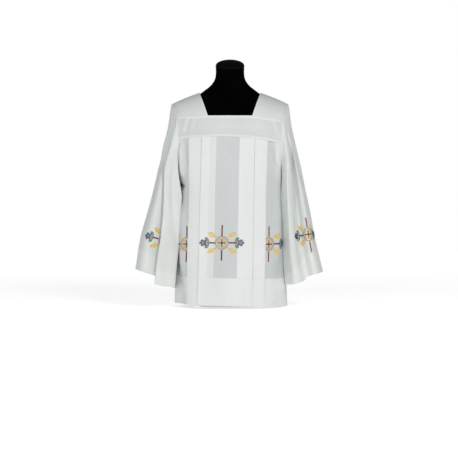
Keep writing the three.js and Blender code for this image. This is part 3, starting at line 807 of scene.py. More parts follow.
def makeBand(sideName):
    side = sides[sideName]
    height = side["neckZ"] - side["seamZ"]
    high, wide = yoke["bandGrid"]
    at = softSteps(height, (yoke["lowerWelt"], height - yoke["upperWelt"]), high)
    share, at = np.meshgrid(np.linspace(-1, 1, wide)[::-side["sign"]], at)
    lower = ease((yoke["lowerWelt"] - at * height) / yoke["weltSlope"] + 0.5)
    upper = ease((at * height - height + yoke["upperWelt"]) / yoke["weltSlope"] + 0.5)
    welt = np.maximum(lower, upper)
    points = bandPoint(sideName, share, at, welt * yoke["welt"] * 0.5)
    node = "yoke_" + sideName + "_band"
    addYoke(node, points, welt, points[..., 2], yoke["bandCover"], np.mean)


def strapPoint(name, turn, at, proud=0.0):
    # turn runs from -90 at the front seam over the ridge at 0 to 90 at the back seam
    rise = np.cos(np.radians(turn))
    x = halves[name] * mix(mix(cut["neckCornerX"], cut["neckX"], rise), shoulderEdgeX(rise), at)
    front = onShoulder(sides["front"], x, rise)
    back = onShoulder(sides["back"], x, rise)
    point = np.where((turn < 0)[..., None], front, back)
    lift = proud + creaseField(x, point[..., 2], yoke["creases"][name]) * ease(np.abs(turn) / 30)
    point[..., 2] += lift * rise
    point[..., 1] += np.sign(turn) * lift * (1 - rise)
    return point


def makeStrap(name):
    run = cut["tipX"] - cut["neckX"]
    wide, high = yoke["strapGrid"]
    at = softSteps(run, (yoke["neckHem"],), wide)[::halves[name]]
    at, turn = np.meshgrid(at, np.linspace(-90, 90, high))
    welt = ease((yoke["neckHem"] - at * run) / yoke["weltSlope"] + 0.5)
    points = strapPoint(name, turn, at, welt * yoke["welt"] * 0.5)
    node = "yoke_" + name + "_shoulder"
    addYoke(node, points, welt, runOf(points, 0), yoke["strapCover"], np.max)


for sideName in sides:
    makeBand(sideName)
for name in halves:
    makeStrap(name)
print("yoke made")


# sleeves

sleeves = {
    "length": 0.560,
    "cuff": 0.062,
    "seat": 0.30,                 # how far down the armhole's shape lasts
    "foldStart": 0.34,
    "ringRound": 0.8,
    "cuffStep": 0.45,
    "cloth": 0.0006,
    "cuffCloth": 0.0012,
    "rows": 96,
    "turnSteps": 26,
    "lowerSteps": 74,
    "tuckUnder": 0.0015,
    "coverAndPaintedLight": 0.74,
    "cuffCover": 0.95,
    "cuffLineCover": 0.08,
    "softness": 0.0016,
    # a crease's start and end are (angle round / 360, share of the way down)
    "left": {
        "sections": table("along innerX innerZ outerX outerZ front back", [
            (0.00, 0.200, 0.493, 0.231, 0.808, 0.098, 0.092),
            (0.10, 0.204, 0.482, 0.242, 0.770, 0.104, 0.100),
            (0.20, 0.206, 0.455, 0.250, 0.712, 0.106, 0.108),
            (0.32, 0.208, 0.405, 0.264, 0.638, 0.106, 0.115),
            (0.45, 0.211, 0.345, 0.284, 0.556, 0.109, 0.122),
            (0.58, 0.214, 0.283, 0.301, 0.470, 0.113, 0.128),
            (0.71, 0.217, 0.220, 0.320, 0.380, 0.119, 0.134),
            (0.84, 0.222, 0.158, 0.338, 0.278, 0.127, 0.140),
            (1.00, 0.228, 0.090, 0.371, 0.142, 0.137, 0.147),
        ]),
        "folds": table("top cuff depth width lean", [
            (32, 87, -0.034, 11, 0),
            (72, 130, 0.026, 22, 0),
            (8, 46, 0.008, 22, 0),
            (110, 157, -0.004, 13, -0.013),
            (330, 262, -0.042, 16, 0),
            (300, 228, 0.009, 18, 0),
            (345, 318, -0.012, 15, 0),
        ]),
        "laps": [],
        "creases": [
            ((0.14, 0.15), (0.17, 0.95), 0.004, 0.030),
            ((0.12, 0.12), (0.10, 0.50), -0.009, 0.060),
            ((0.04, 0.10), (0.09, 0.98), -0.005, 0.022),
            ((0.36, 0.12), (0.42, 0.60), -0.006, 0.020),
            ((0.30, 0.05), (0.36, 0.35), 0.004, 0.014),
            ((0.88, 0.10), (0.76, 0.98), 0.005, 0.022),
            ((0.66, 0.10), (0.58, 0.80), -0.006, 0.022),
        ],
    },
    "right": {
        "sections": table("along innerX innerZ outerX outerZ front back", [
            (0.00, 0.200, 0.493, 0.231, 0.808, 0.090, 0.092),
            (0.10, 0.204, 0.481, 0.242, 0.768, 0.092, 0.100),
            (0.20, 0.206, 0.452, 0.252, 0.706, 0.096, 0.108),
            (0.32, 0.208, 0.400, 0.268, 0.630, 0.101, 0.115),
            (0.45, 0.211, 0.340, 0.284, 0.545, 0.109, 0.122),
            (0.58, 0.214, 0.276, 0.304, 0.458, 0.113, 0.128),
            (0.71, 0.217, 0.212, 0.330, 0.368, 0.119, 0.134),
            (0.84, 0.222, 0.150, 0.357, 0.276, 0.127, 0.140),
            (1.00, 0.227, 0.076, 0.378, 0.154, 0.137, 0.147),
        ]),
        "folds": table("top cuff depth width lean", [
            (26, 86, -0.020, 14, -0.010),
            (52, 112, 0.008, 15, 0.010),
            (10, 40, 0.006, 20, 0),
            (120, 137, 0.004, 15, -0.026),
            (330, 270, -0.038, 16, 0),
            (300, 236, 0.008, 18, 0),
            (350, 322, -0.013, 14, 0),
        ]),
        "laps": table("top cuff step over width", [
            (38, 96, 0.006, 0.012, 8),
        ]),
        "creases": [
            ((0.16, 0.08), (0.30, 0.90), 0.005, 0.018),
            ((0.12, 0.08), (0.12, 0.42), -0.014, 0.070),
            ((0.25, 0.06), (0.37, 0.70), -0.006, 0.016),
            ((0.30, 0.04), (0.44, 0.50), 0.010, 0.014),
            ((0.03, 0.12), (0.07, 0.98), 0.004, 0.022),
            ((0.37, 0.06), (0.46, 0.40), -0.010, 0.014),
            ((0.90, 0.10), (0.80, 0.98), 0.005, 0.022),
            ((0.64, 0.08), (0.57, 0.85), -0.006, 0.022),
        ],
    },
}


def armholeHalf(side, half):
    # from the shoulder's tip down to the underarm, with its angle round the sleeve
    rise = np.sin(np.radians(np.linspace(90, 0, sleeves["turnSteps"])))
    upper = onShoulder(side, half * shoulderEdgeX(rise), rise)
    low = float(weltZ(side, np.array(half * cut["yokeSideX"])))
    down = np.sin(np.radians(np.linspace(0, 90, sleeves["lowerSteps"] + 1)[1:]))
    z = mix(low, cut["underarmZ"], down)
    points = np.concatenate([upper, onBody(side, half * armholeX(side, z), z)])
    along = runOf(points, 0)
    return points, 180 * along / along[-1]


def armholeLoop(half):
    front, frontAngle = armholeHalf(sides["front"], half)
    back, backAngle = armholeHalf(sides["back"], half)
    points = np.concatenate([front, back[-2:0:-1]])
    return points, np.concatenate([frontAngle, 360 - backAngle[-2:0:-1]])


def fuller(value, power):
    return np.sign(value) * np.abs(value) ** power


def turnFrom(centre, angle):
    return (angle - centre + 540) % 360 - 180


def sleevePoint(name, start, angle, along, lift=0.0):
    # start is the armhole's point at this angle round the sleeve
    shape, half = sleeves[name], halves[name]
    read = {key: readCurve(shape["sections"], "along", key, along) for key in
            ("innerX", "innerZ", "outerX", "outerZ", "front", "back")}
    out = np.cos(np.radians(angle))
    forward = np.sin(np.radians(angle))
    nearTop = (1 - along) ** 3
    growth = ease(along / sleeves["foldStart"])
    depth, lean = 0, 0
    for fold in shape["folds"]:
        away = turnFrom(mix(fold["cuff"], fold["top"], nearTop), angle)
        near = growth * np.exp(-(away / fold["width"]) ** 2)
        depth = depth + fold["depth"] * near
        lean = lean + fold["lean"] * near
    for lap in shape["laps"]:
        t = turnFrom(mix(lap["cuff"], lap["top"], nearTop), angle) / lap["width"]
        bend = growth * 2.33 * t * np.exp(-t * t)     # its peak is 1
        depth = depth + lap["step"] * bend
        lean = lean + lap["over"] * bend
    across = (1 + fuller(out, sleeves["ringRound"])) / 2
    up = (1 + fuller(out, mix(1, sleeves["cuffStep"], along))) / 2
    reach = np.where(forward > 0, read["front"], read["back"])
    reach = reach * fuller(forward, sleeves["ringRound"])
    push = (depth + lift) * fuller(forward, 0.5)
    x = mix(read["innerX"], read["outerX"], across) + lean + lift * np.maximum(0, out)
    z = mix(read["innerZ"], read["outerZ"], up)
    section = np.stack([half * x, -reach - push, z], axis=-1)
    seat = ease(along / sleeves["seat"])
    hung = np.array(start, float) + 0 * section
    hung[..., 0] += half * (read["innerX"] - cut["underarmX"])
    hung[..., 2] = mix(start[..., 2], z, seat)
    return mix(hung, section, seat[..., None])


def sleeveLift(name, angle, along):
    half = halves[name]
    # nothing at the armhole's seam, and more down the sleeve
    lift = ease(along / 0.12) * creaseField(angle / 360, along, sleeves[name]["creases"])
    waves = softWaves(np.cos(np.radians(angle)), along, 31 + half, 0.9, 0.6)
    return lift + sleeves["softness"] * ease(along / 0.2) * waves


def makeSleeve(name):
    half = halves[name]
    start, angle = armholeLoop(half)
    hemTop = 1 - sleeves["cuff"] / sleeves["length"]
    step = 0.004
    edges = [hemTop - step, hemTop, hemTop + step, 1 - step]
    along = np.unique(np.concatenate([np.linspace(0, 1, sleeves["rows"]), edges]))
    angles, alongs = np.meshgrid(angle, along)
    points = sleevePoint(name, start, angles, alongs, sleeveLift(name, angles, alongs))
    points[..., 0] -= half * sleeves["tuckUnder"] * (1 - ease(alongs / 0.015))
    inCuff = ease((alongs - hemTop) / 0.003 + 0.5)
    cuffLine = np.exp(-((alongs - hemTop - 0.006) / 0.005) ** 2)      # just below the hem's top
    coverAndPaintedLight = mix(sleeves["coverAndPaintedLight"], sleeves["cuffCover"], inCuff)
    coverAndPaintedLight = coverAndPaintedLight + sleeves["cuffLineCover"] * cuffLine
    uv = np.stack([runOf(points, 1), runOf(points, 0)], axis=-1)
    thickness = mix(sleeves["cloth"], sleeves["cuffCloth"], inCuff)
    way = (slice(None, None, -1), slice(None, None, -half))
    points, coverAndPaintedLight, uv, thickness = (v[way] for v in (points, coverAndPaintedLight, uv, thickness))
    node = "sleeve_" + name
    addCloth(node, node + "_cloth", "sleeve_cloth", points, thickness, uv, coverAndPaintedLight, ring=True)


for name in halves:
    makeSleeve(name)
print("sleeves made")


# needlework: every thread of the seams and the embroidery lies on the cloth

needle = {
    "threadWidth": 0.0010,
    "threadHeight": 0.0007,
    "rowSpacing": 0.00085,        # between the threads of a satin shape
    "fillLength": 0.0065,
    "seamLength": 0.0026,
    "seamSpacing": 0.0034,
    "seamWidth": 0.0006,
    "seamHeight": 0.0005,
    "unevenness": 0.10,
    "seed": 7,
    "standOff": 0.00061,          # from the middle of the cloth to the middle of a thread
    "edgeGap": 0.0014,            # from an edge to the stitches beside it
    "weltGap": 0.0016,
    "hemGap": 0.003,
    "yokeStand": 0.00135,         # how far the stitches stand out from the middle of the cloth
    "panelStand": 0.0007,
    "strapStand": 0.0006,
    "sleeveStand": (0.0005, 0.0008),            # beside the armhole, and on the cuff
    "armholeShare": 0.014,
    "sleeveRange": (0.32, 0.995),               # how far down a sleeve its emblem may be
    "colours": {
        "red": (0.25, 0.004, 0.010, 1),
        "bronze": (0.42, 0.27, 0.080, 1),
        "gold": (0.95, 0.65, 0.20, 1),
        "cream": (0.82, 0.75, 0.52, 1),
        "green": (0.045, 0.30, 0.085, 1),
        "violet": (0.036, 0.015, 0.15, 1),
        "white": (0.76, 0.78, 0.77, 1),
    },
}
emblem = {
    # metres from the emblem's middle, and how far each shape stands above the cloth
    "discRadius": 0.0230,
    "ringRadius": 0.0246,
    "ringWidth": 0.0036,
    "innerRing": 0.0172,
    "innerRingWidth": 0.0011,
    "crossStart": 0.0006,
    "crossArm": 0.0140,
    "crossWidth": 0.0056,
    "barStart": 0.0282,
    "barUp": 0.0690,
    "barAcross": 0.0600,
    "barWidth": 0.0070,
    "bladeStart": 0.0290,
    "bladeLength": 0.0400,
    "bladeWidth": 0.0200,
    "bladeLean": 0.32,
    "leafInset": 0.010,
    "leafSide": 0.0035,
    "leafLength": 0.0240,
    "leafWidth": 0.0130,
    "leafWay": (0.65, 0.75),
    "flowerAt": 0.0730,
    "petalStart": 0.0012,
    "petalLength": 0.0125,
    "petalWidth": 0.0115,
    "petals": 5,
    "heart": 0.0028,
    "rise": {"disc": 0, "ring": 0.0005, "bar": 0.0002, "cross": 0.0007, "leaf": 0.0003,
             "petal": 0.0005, "heart": 0.0009},
    "places": {
        # across a panel and up it, or the angle round a sleeve and the share of the way down
        "front": [(-0.0155, 0.258), (-0.1640, 0.252), (0.1740, 0.252)],
        "back": [(0.0, 0.250), (-0.1620, 0.250), (0.1620, 0.250)],
        "left": [(62, 0.795), (314, 0.770)],
        "right": [(91, 0.735), (318, 0.770)],
    },
}


def threadFinish():
    finish = Finish("embroideryThread")
    grain = finish.noise(finish.place, 900, 2)
    colour = finish.attribute("threadColour", "Color")
    return finish.close({
        "Base Color": finish.shade(colour, finish.spread(grain, 0.82, 1.08)),
        "Normal": finish.bump(grain, 0.3, 0.0002),
        "Roughness": 0.52, "Sheen Weight": 0.08, "Specular IOR Level": 0.25})


def threadNodes():
    # a small rounded thread on each point, turned along it
    tree = bpy.data.node_groups.new("threads", "GeometryNodeTree")
    inputs = {"Geometry": "Geometry", "Thread Width": "Float", "Thread Height": "Float",
              "Unevenness": "Float", "Seed": "Int", "Material": "Material"}
    for name, kind in inputs.items():
        tree.interface.new_socket(name, in_out="INPUT", socket_type="NodeSocket" + kind)
    tree.interface.new_socket("Geometry", in_out="OUTPUT", socket_type="NodeSocketGeometry")

    def add(kind, values=None, **settings):
        return addNode(tree, kind, values, **settings)

    def maths(operation, a, b):
        return add("ShaderNodeMath", {0: a, 1: b}, operation=operation)

    def read(name, kind):
        node = add("GeometryNodeInputNamedAttribute", {"Name": name}, data_type=kind)
        return node.outputs["Attribute"]

    given = add("NodeGroupInput").outputs
    uneven = add("FunctionNodeRandomValue", {"Seed": given["Seed"]}, data_type="FLOAT")
    for name, operation in (("Min", "SUBTRACT"), ("Max", "ADD")):
        setSocket(tree, inUse(uneven.inputs, name), maths(operation, 1.0, given["Unevenness"]))
    factor = inUse(uneven.outputs)
    size = add("ShaderNodeCombineXYZ", {
        "X": read("threadLength", "FLOAT"),
        "Y": maths("MULTIPLY", given["Thread Width"], factor),
        "Z": maths("MULTIPLY", given["Thread Height"], factor)})
    turn = add("FunctionNodeAxesToRotation", {
        "Primary Axis": read("threadAlong", "FLOAT_VECTOR"),
        "Secondary Axis": read("threadOut", "FLOAT_VECTOR")}, primary_axis="X", secondary_axis="Z")
    thread = add("GeometryNodeMeshUVSphere", {"Segments": 6, "Rings": 3, "Radius": 0.5})
    rounded = add("GeometryNodeSetShadeSmooth", {"Geometry": thread})
    copies = add("GeometryNodeInstanceOnPoints", {
        "Points": given["Geometry"], "Instance": rounded, "Rotation": turn, "Scale": size})
    real = add("GeometryNodeRealizeInstances", {"Geometry": copies})
    dyed = add("GeometryNodeSetMaterial", {"Geometry": real, "Material": given["Material"]})
    add("NodeGroupOutput", {"Geometry": dyed})
    return tree


threadTree = threadNodes()
threadMaterial = threadFinish()
threadSockets = {item.name: item.identifier for item in threadTree.interface.items_tree
                 if item.item_type == "SOCKET" and item.in_out == "INPUT"}


def makeThreads(name, threads, width, height):
    # each block of threads: their two ends, their outward directions and their colour
    start, end, outward = (np.concatenate([block[k] for block in threads]) for k in range(3))
    colour = np.concatenate([
        np.tile(needle["colours"][block[3]], (len(block[0]), 1)) for block in threads])
    data = bpy.data.meshes.new(name + "_points")
    data.vertices.add(len(start))
    data.vertices.foreach_set("co", ((start + end) / 2).ravel())
    for key, kind, field, values in (
            ("threadAlong", "FLOAT_VECTOR", "vector", unit(end - start)),
            ("threadOut", "FLOAT_VECTOR", "vector", outward),
            ("threadLength", "FLOAT", "value", np.linalg.norm(end - start, axis=1)),
            ("threadColour", "FLOAT_COLOR", "color", colour)):
        data.attributes.new(key, kind, "POINT").data.foreach_set(field, values.ravel())
    holder = addObject(name + "_points", data)
    modifier = holder.modifiers.new("threads", "NODES")
    modifier.node_group = threadTree
    for key, value in (("Thread Width", width), ("Thread Height", height), ("Seed", needle["seed"]),
                       ("Unevenness", needle["unevenness"]), ("Material", threadMaterial)):
        modifier[threadSockets[key]] = value
    seen = holder.evaluated_get(bpy.context.evaluated_depsgraph_get())
    mesh = bpy.data.meshes.new_from_object(seen)
    bpy.data.objects.remove(holder)
    mesh.name = name
    piece = addObject(name, mesh)
    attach(piece, "root")
    return piece


# shapes in thread: both ends of each thread on the flat

def wayTo(turn):
    return np.array([math.cos(turn), math.sin(turn)])


def satinBar(start, end, width):
    start, end = np.array(start, float), np.array(end, float)
    run = end - start
    length = np.hypot(*run)
    side = np.array([-run[1], run[0]]) / length * width / 2
    t = np.linspace(0, 1, max(2, int(length / needle["rowSpacing"])))[:, None]
    middle = start + run * t
    return middle - side, middle + side


def satinLeaf(base, turn, length, width):
    # two rows of slanting threads that meet at the midrib
    along = wayTo(turn)
    across = np.array([-along[1], along[0]])
    tip, slant = 0.03, 0.7
    t = np.linspace(tip, 1 - tip, max(3, int(length / needle["rowSpacing"] * 0.9)))[:, None]
    reach = width / 2 * np.sin(math.pi * t ** 0.8)            # widest towards the base
    rib = np.array(base, float) + along * length * t
    edges = [rib + sign * across * reach + along * reach * slant for sign in (-1, 1)]
    return np.concatenate([rib, rib]), np.concatenate(edges)


def satinRing(radius, width):
    turn = np.arange(0, 2 * math.pi, needle["rowSpacing"] / radius)[:, None]
    way = np.concatenate([np.cos(turn), np.sin(turn)], axis=1)
    return way * (radius - width / 2), way * (radius + width / 2)


def fillDisc(radius):
    starts, ends = [], []
    for k, y in enumerate(np.arange(-radius, radius, needle["rowSpacing"])):
        half = math.sqrt(max(0, radius ** 2 - y ** 2))
        cuts = np.arange(-half - (k % 3) * needle["fillLength"] / 3, half, needle["fillLength"])
        cuts = np.unique(np.clip(np.append(cuts, half), -half, half))
        for a, b in zip(cuts[:-1], cuts[1:]):
            starts.append((a, y))
            ends.append((b, y))
    return np.array(starts), np.array(ends)


def emblemThreads():
    size, rise = emblem, emblem["rise"]
    shapes = []

    def put(colour, layer, shape):
        shapes.append((colour, rise[layer], *shape))

    put("cream", "disc", fillDisc(size["discRadius"]))
    put("bronze", "ring", satinRing(size["ringRadius"], size["ringWidth"]))
    put("bronze", "ring", satinRing(size["innerRing"], size["innerRingWidth"]))
    for turn in range(4):
        way = np.round(wayTo(turn * math.pi / 2))
        end = size["barUp"] if way[1] else size["barAcross"]
        put("red", "bar", satinBar(way * size["barStart"], way * end, size["barWidth"]))
        put("red", "cross", satinBar(
            way * size["crossStart"], way * size["crossArm"], size["crossWidth"]))
        slant = math.pi * (turn / 2 + 0.25)
        lean = slant - math.copysign(size["bladeLean"], math.sin(2 * slant))
        put("gold", "leaf", satinLeaf(
            wayTo(slant) * size["bladeStart"], lean, size["bladeLength"], size["bladeWidth"]))
    for side in (-1, 1):
        for up in (-1, 1):
            base = (side * (size["barAcross"] - size["leafInset"]), up * size["leafSide"])
            turn = math.atan2(up * size["leafWay"][1], side * size["leafWay"][0])
            put("green", "leaf", satinLeaf(base, turn, size["leafLength"], size["leafWidth"]))
        middle = np.array([side * size["flowerAt"], 0])
        for k in range(size["petals"]):
            turn = 2 * math.pi * k / size["petals"] + (0 if side > 0 else math.pi)
            base = middle + size["petalStart"] * wayTo(turn)
            put("violet", "petal", satinLeaf(base, turn, size["petalLength"], size["petalWidth"]))
        half = np.array([0, size["heart"] / 2])
        put("gold", "heart", satinBar(middle - half, middle + half, size["heart"]))
    return shapes


def panelAt(sideName, place, z, proud=0.0):
    # the outside of a panel, from the distance across it and the height
    side = sides[sideName]
    one, two = pleats["foldOne"], pleats["foldTwo"]
    half = np.where(place < 0, -1.0, 1.0)
    out = np.abs(place)
    centre = pleatCentre(side, z)
    edge = outlineAt(side, z)[2][..., -1]
    first = np.abs(half * two + centre)
    share = np.clip((np.abs(half * out + centre) - first) / (edge - first), 0, 1)
    layers = np.where(out <= one, 2 + climbAt(out), 2)
    layers = np.where(out <= two, layers, 0)
    x = half * out + centre
    low = hemEdgeZ(side, x) + cut["hemHeight"]
    top = seamZ(side, x) + pleats["tuckUnder"]
    level = 1 + (z - low) / np.where(z < low, cut["hemHeight"], top - low)
    stop = (np.minimum(out, two), layers, 0 * out, 0 * out, share)
    return panelPoint(sideName, half, stop, level, proud)


def sleeveAt(name, angle, along, start=(0, 0, 0)):
    # a place on a sleeve's cloth, its outward direction, and a step round and a step down
    turnStep, downStep = 0.4, 0.002

    def point(turn, down):
        return sleevePoint(name, np.array(start, float), turn, down, sleeveLift(name, turn, down))

    around = point(angle + turnStep, along) - point(angle - turnStep, along)
    down = point(angle, along + downStep) - point(angle, along - downStep)
    around, down = around / (2 * turnStep), down / (2 * downStep)
    return point(angle, along), unit(halves[name] * np.cross(around, down)), around, down


def lineOn(place, proud):
    # places from a function that takes how far they stand out, and their outward direction
    step = 0.004
    near = place(proud)
    return near, unit(place(proud + step) - near)


def panelEmblem(sideName, place, z):
    sign = -sides[sideName]["sign"]

    def lay(flat, rise):
        across, up = place + sign * flat[:, 0], z + flat[:, 1]
        return lineOn(lambda proud: panelAt(sideName, across, up, proud), rise)

    def keep(flat):
        return np.abs(place + sign * flat[:, 0]) > pleats["foldTwo"] + 0.0015

    return lay, keep if abs(place) > pleats["foldTwo"] else None


def sleeveEmblem(name, angle, along):
    # the emblem's level line crosses the sleeve square to its length
    half, middle = halves[name], 80           # degrees to each side of the emblem
    fan = np.arange(-middle, middle + 1, 1.0)
    level = along + 0 * fan
    for _ in range(4):
        around, down = sleeveAt(name, angle + fan, level)[2:]
        tall = np.linalg.norm(down, axis=1)
        slip = (around * down).sum(-1) / tall ** 2
        level = along - np.cumsum(slip) + np.cumsum(slip)[middle]
    across = np.cumsum(np.linalg.norm(around - slip[:, None] * down, axis=1))
    across = across - across[middle]

    def turnOf(flat):
        return np.interp(-half * flat[:, 0], across, fan)

    def lay(flat, rise):
        turn = turnOf(flat)
        height = np.interp(turn, fan, level) - flat[:, 1] / np.interp(turn, fan, tall)
        height = np.clip(height, *needle["sleeveRange"])
        near, outward = sleeveAt(name, angle + turn, height)[:2]
        return near + outward * rise, outward

    def keep(flat):
        # the part that a lap of the sleeve hides has no threads
        limit = min([lap["cuff"] - 3 for lap in sleeves[name]["laps"]] + [360])
        return angle + turnOf(flat) < limit

    return lay, keep if angle < 180 else None


def embroider(lay, keep):
    threads = []
    for colour, rise, start, end in emblemThreads():
        if keep is not None:
            shown = keep(start) & keep(end)
            start, end = start[shown], end[shown]
        if len(start):
            lift = rise + needle["standOff"]
            first, outward = lay(start, lift)
            threads.append((first, lay(end, lift)[0], outward, colour))
    return threads


def seamThreads(points, outward):
    # even stitches along a line that lies on the cloth
    run = runOf(points, 0)
    count = max(1, int(run[-1] / needle["seamSpacing"]))
    middle = (np.arange(count) + 0.5) * run[-1] / count

    def at(values, where):
        return np.stack([np.interp(where, run, values[:, k]) for k in range(3)], -1)

    half = needle["seamLength"] / 2
    return at(points, middle - half), at(points, middle + half), unit(at(outward, middle)), "white"


needlework = {}
for name, places in emblem["places"].items():
    node, emblemOn = name + "_panel", panelEmblem
    if name in halves:
        node, emblemOn = "sleeve_" + name, sleeveEmblem
    threads = [block for place in places for block in embroider(*emblemOn(name, *place))]
    width, height = needle["threadWidth"], needle["threadHeight"]
    needlework[node] = [makeThreads(node + "_embroidery", threads, width, height)]
print("embroidery made")


def panelSeams(name):
    one, two = pleats["foldOne"], pleats["foldTwo"]
    gap, reach = 0.002, 0.225
    for low, high in ((-reach, -two - gap), (-two, -one - gap), (-one, one), (one + gap, two),
                      (two + gap, reach)):
        across = np.linspace(low, high, 60)
        z = hemEdgeZ(sides[name], across) + cut["hemHeight"] - needle["hemGap"]
        yield lineOn(lambda proud: panelAt(name, across, z, proud), needle["panelStand"])


def bandSeams(name):
    height = sides[name]["neckZ"] - sides[name]["seamZ"]
    share = np.linspace(-0.985, 0.985, 200)
    edge, gap = needle["edgeGap"], needle["weltGap"]
    for at in (edge, yoke["lowerWelt"] - gap, height - yoke["upperWelt"] + gap, height - edge):
        level = at / height + 0 * share
        yield lineOn(lambda proud: bandPoint(name, share, level, proud), needle["yokeStand"])


def strapSeams(name):
    turn = np.linspace(-88, 88, 120)
    run = cut["tipX"] - cut["neckX"]
    edge, stand = needle["edgeGap"], needle["yokeStand"]
    for at, proud in ((edge, stand), (yoke["neckHem"] - edge, stand),
                      (run - needle["hemGap"], needle["strapStand"])):
        yield lineOn(lambda out: strapPoint(name, turn, at / run + 0 * turn, out), proud)


def sleeveSeams(name):
    # each is a ring, so its first place comes again at the end
    start, angle = armholeLoop(halves[name])
    low = 1 - (sleeves["cuff"] - needle["hemGap"]) / sleeves["length"]
    for along, proud in zip((needle["armholeShare"], low), needle["sleeveStand"]):
        points, outward = sleeveAt(name, angle, along + 0 * angle, start)[:2]
        yield [np.concatenate([v, v[:1]]) for v in (points + outward * proud, outward)]


seamsOf = {"panel": panelSeams, "band": bandSeams, "shoulder": strapSeams, "sleeve": sleeveSeams}


for node in clothPieces:
    words = node.split("_")
    name = [word for word in words if word in sides or word in halves][0]
    kind = [word for word in words if word in seamsOf][0]
    threads = [seamThreads(points, outward) for points, outward in seamsOf[kind](name)]
    piece = makeThreads(node + "_stitching", threads, needle["seamWidth"], needle["seamHeight"])
    needlework.setdefault(node, []).append(piece)
print("seam stitches made")


# the dress form

form = {
    "around": 128,
    "rows": 150,
    "neckTilt": 0.30,
    "tiltFrom": 0.897,
    "tiltOver": 0.059,
    "capRadius": 0.0575,
    "capRim": 0.005,
    "capDome": 0.021,
    "capGap": 0.0004,
    "paintedShadowTop": 0.010,           # the top of a grey band painted round the form's foot as the shade under the hem
    "paintedShadowColour": (0.50, 0.50, 0.48, 1),
    "jerseyColours": ((0.0006, 0.0006, 0.0007, 1), (0.0014, 0.0014, 0.0015, 1)),
    "capColours": ((0.0012, 0.0012, 0.0011, 1), (0.0026, 0.0026, 0.0024, 1)),
    "sections": table("z halfWidth front back centreY", [
        (0.000, 0.122, 0.066, 0.072, 0),
        (0.010, 0.140, 0.083, 0.090, 0),
        (0.030, 0.158, 0.098, 0.108, 0),
        (0.070, 0.168, 0.105, 0.118, 0),
        (0.160, 0.174, 0.108, 0.124, 0),
        (0.260, 0.165, 0.104, 0.114, 0),
        (0.360, 0.153, 0.100, 0.100, 0),
        (0.450, 0.156, 0.106, 0.100, 0),
        (0.540, 0.167, 0.116, 0.107, 0),
        (0.620, 0.178, 0.124, 0.113, 0),
        (0.680, 0.189, 0.127, 0.116, 0),
        (0.730, 0.202, 0.125, 0.116, 0),
        (0.768, 0.212, 0.116, 0.110, 0),
        (0.789, 0.213, 0.107, 0.104, 0),
        (0.805, 0.203, 0.098, 0.098, 0),
        (0.818, 0.184, 0.091, 0.094, 0),
        (0.832, 0.153, 0.084, 0.089, 0),
        (0.842, 0.131, 0.079, 0.085, 0),
        (0.851, 0.118, 0.075, 0.081, -0.001),
        (0.866, 0.098, 0.068, 0.075, -0.002),
        (0.881, 0.079, 0.061, 0.068, -0.004),
        (0.897, 0.066, 0.057, 0.061, -0.006),
        (0.913, 0.059, 0.055, 0.056, -0.008),
        (0.933, 0.0565, 0.055, 0.055, -0.010),
        (0.957, 0.057, 0.057, 0.057, -0.013),
    ]),
}


def jerseyFinish():
    finish = Finish("blackJersey")
    knit = finish.add("ShaderNodeTexVoronoi", {
        "Vector": finish.stretch(finish.place, (700, 700, 500)), "Scale": 1.0})
    lint = finish.spread(finish.noise(finish.place, 14, 4), 0, 1, 0.35, 0.75)
    height = finish.add("ShaderNodeSeparateXYZ", {0: finish.place}).outputs["Z"]
    # painted shadow: below this height the black jersey turns grey, as the shade under the hem
    paintedShadowBand = finish.spread(height, 0, 1, form["paintedShadowTop"], form["paintedShadowTop"] - 0.0005)
    jersey = finish.blend(lint, *form["jerseyColours"])
    return finish.close({
        "Base Color": finish.blend(paintedShadowBand, jersey, form["paintedShadowColour"]),
        "Normal": finish.bump(knit.outputs["Distance"], 0.4, 0.0002),
        "Roughness": 0.95, "Specular IOR Level": 0.015})


def capFinish():
    finish = Finish("blackCap")
    grain = finish.noise(finish.place, 240, 3)
    return finish.close({
        "Base Color": finish.blend(grain, *form["capColours"]),
        "Normal": finish.bump(grain, 0.15, 0.0002),
        "Roughness": 0.7, "Specular IOR Level": 0.035})


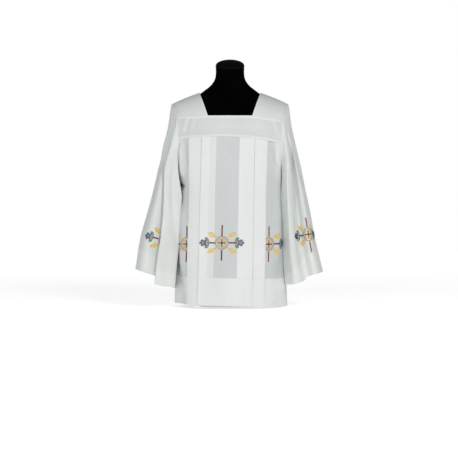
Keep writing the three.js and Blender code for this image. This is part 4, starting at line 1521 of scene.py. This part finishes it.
def addTurned(node, name, points, material, sharpAngle=60):
    # rings of points, closed by a flat face at each end
    rings, around = points.shape[:2]
    index = np.arange(rings * around).reshape(rings, around)
    right = np.roll(index, -1, axis=1)
    quads = np.stack([index[:-1], right[:-1], right[1:], index[1:]], -1).reshape(-1, 4).tolist()
    faces = [index[0, ::-1].tolist(), *quads, index[-1].tolist()]
    piece = makePiece(name, points.reshape(-1, 3), faces, material, sharpAngle=sharpAngle)
    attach(piece, "root")
    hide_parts(node)


def makeTorso():
    z = np.linspace(0, form["sections"][-1]["z"], form["rows"])[:, None]
    turn = turnsRound(form["around"])[None]
    wide, front, back, centre = (readCurve(form["sections"], "z", key, z)
                                 for key in ("halfWidth", "front", "back", "centreY"))
    y = np.sin(turn) * np.where(np.sin(turn) < 0, front, back)
    tilt = form["neckTilt"] * ease((z - form["tiltFrom"]) / form["tiltOver"])
    points = np.stack([wide * np.cos(turn), centre + y, z + tilt * y], axis=-1)
    addTurned("dress_form_torso", "dress_form_body", points, jerseyFinish())


def makeCap():
    radius, rim, dome = form["capRadius"], form["capRim"], form["capDome"]
    bevel, inner, upper = 0.0008, radius - 0.0006, rim - 0.0015
    profile = [(radius - bevel, 0), (radius, bevel), (radius, upper), (inner, rim)]
    for angle in np.radians(np.linspace(6, 87, 24)):
        profile.append((inner * math.cos(angle), rim + dome * math.sin(angle)))
    across, up = np.array(profile).T[..., None]
    turn = turnsRound(form["around"])[None]
    lean = math.atan(form["neckTilt"])
    top = form["sections"][-1]
    y = across * np.sin(turn)
    points = np.stack([
        across * np.cos(turn),
        top["centreY"] + y * math.cos(lean) - up * math.sin(lean),
        top["z"] + form["capGap"] + y * math.sin(lean) + up * math.cos(lean)], axis=-1)
    addTurned("dress_form_neck_cap", "dress_form_cap", points, capFinish(), 40)


makeTorso()
makeCap()
print("dress form made")


held = {"front_panel": "hung", "back_panel": "hung"}
for node, (piece, width, length, area) in clothPieces.items():
    print(node, "flat %.3f x %.3f m, cloth %.3f m2" % (width, length, area))
    held.get(node, "draped")
    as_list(needlework[node])
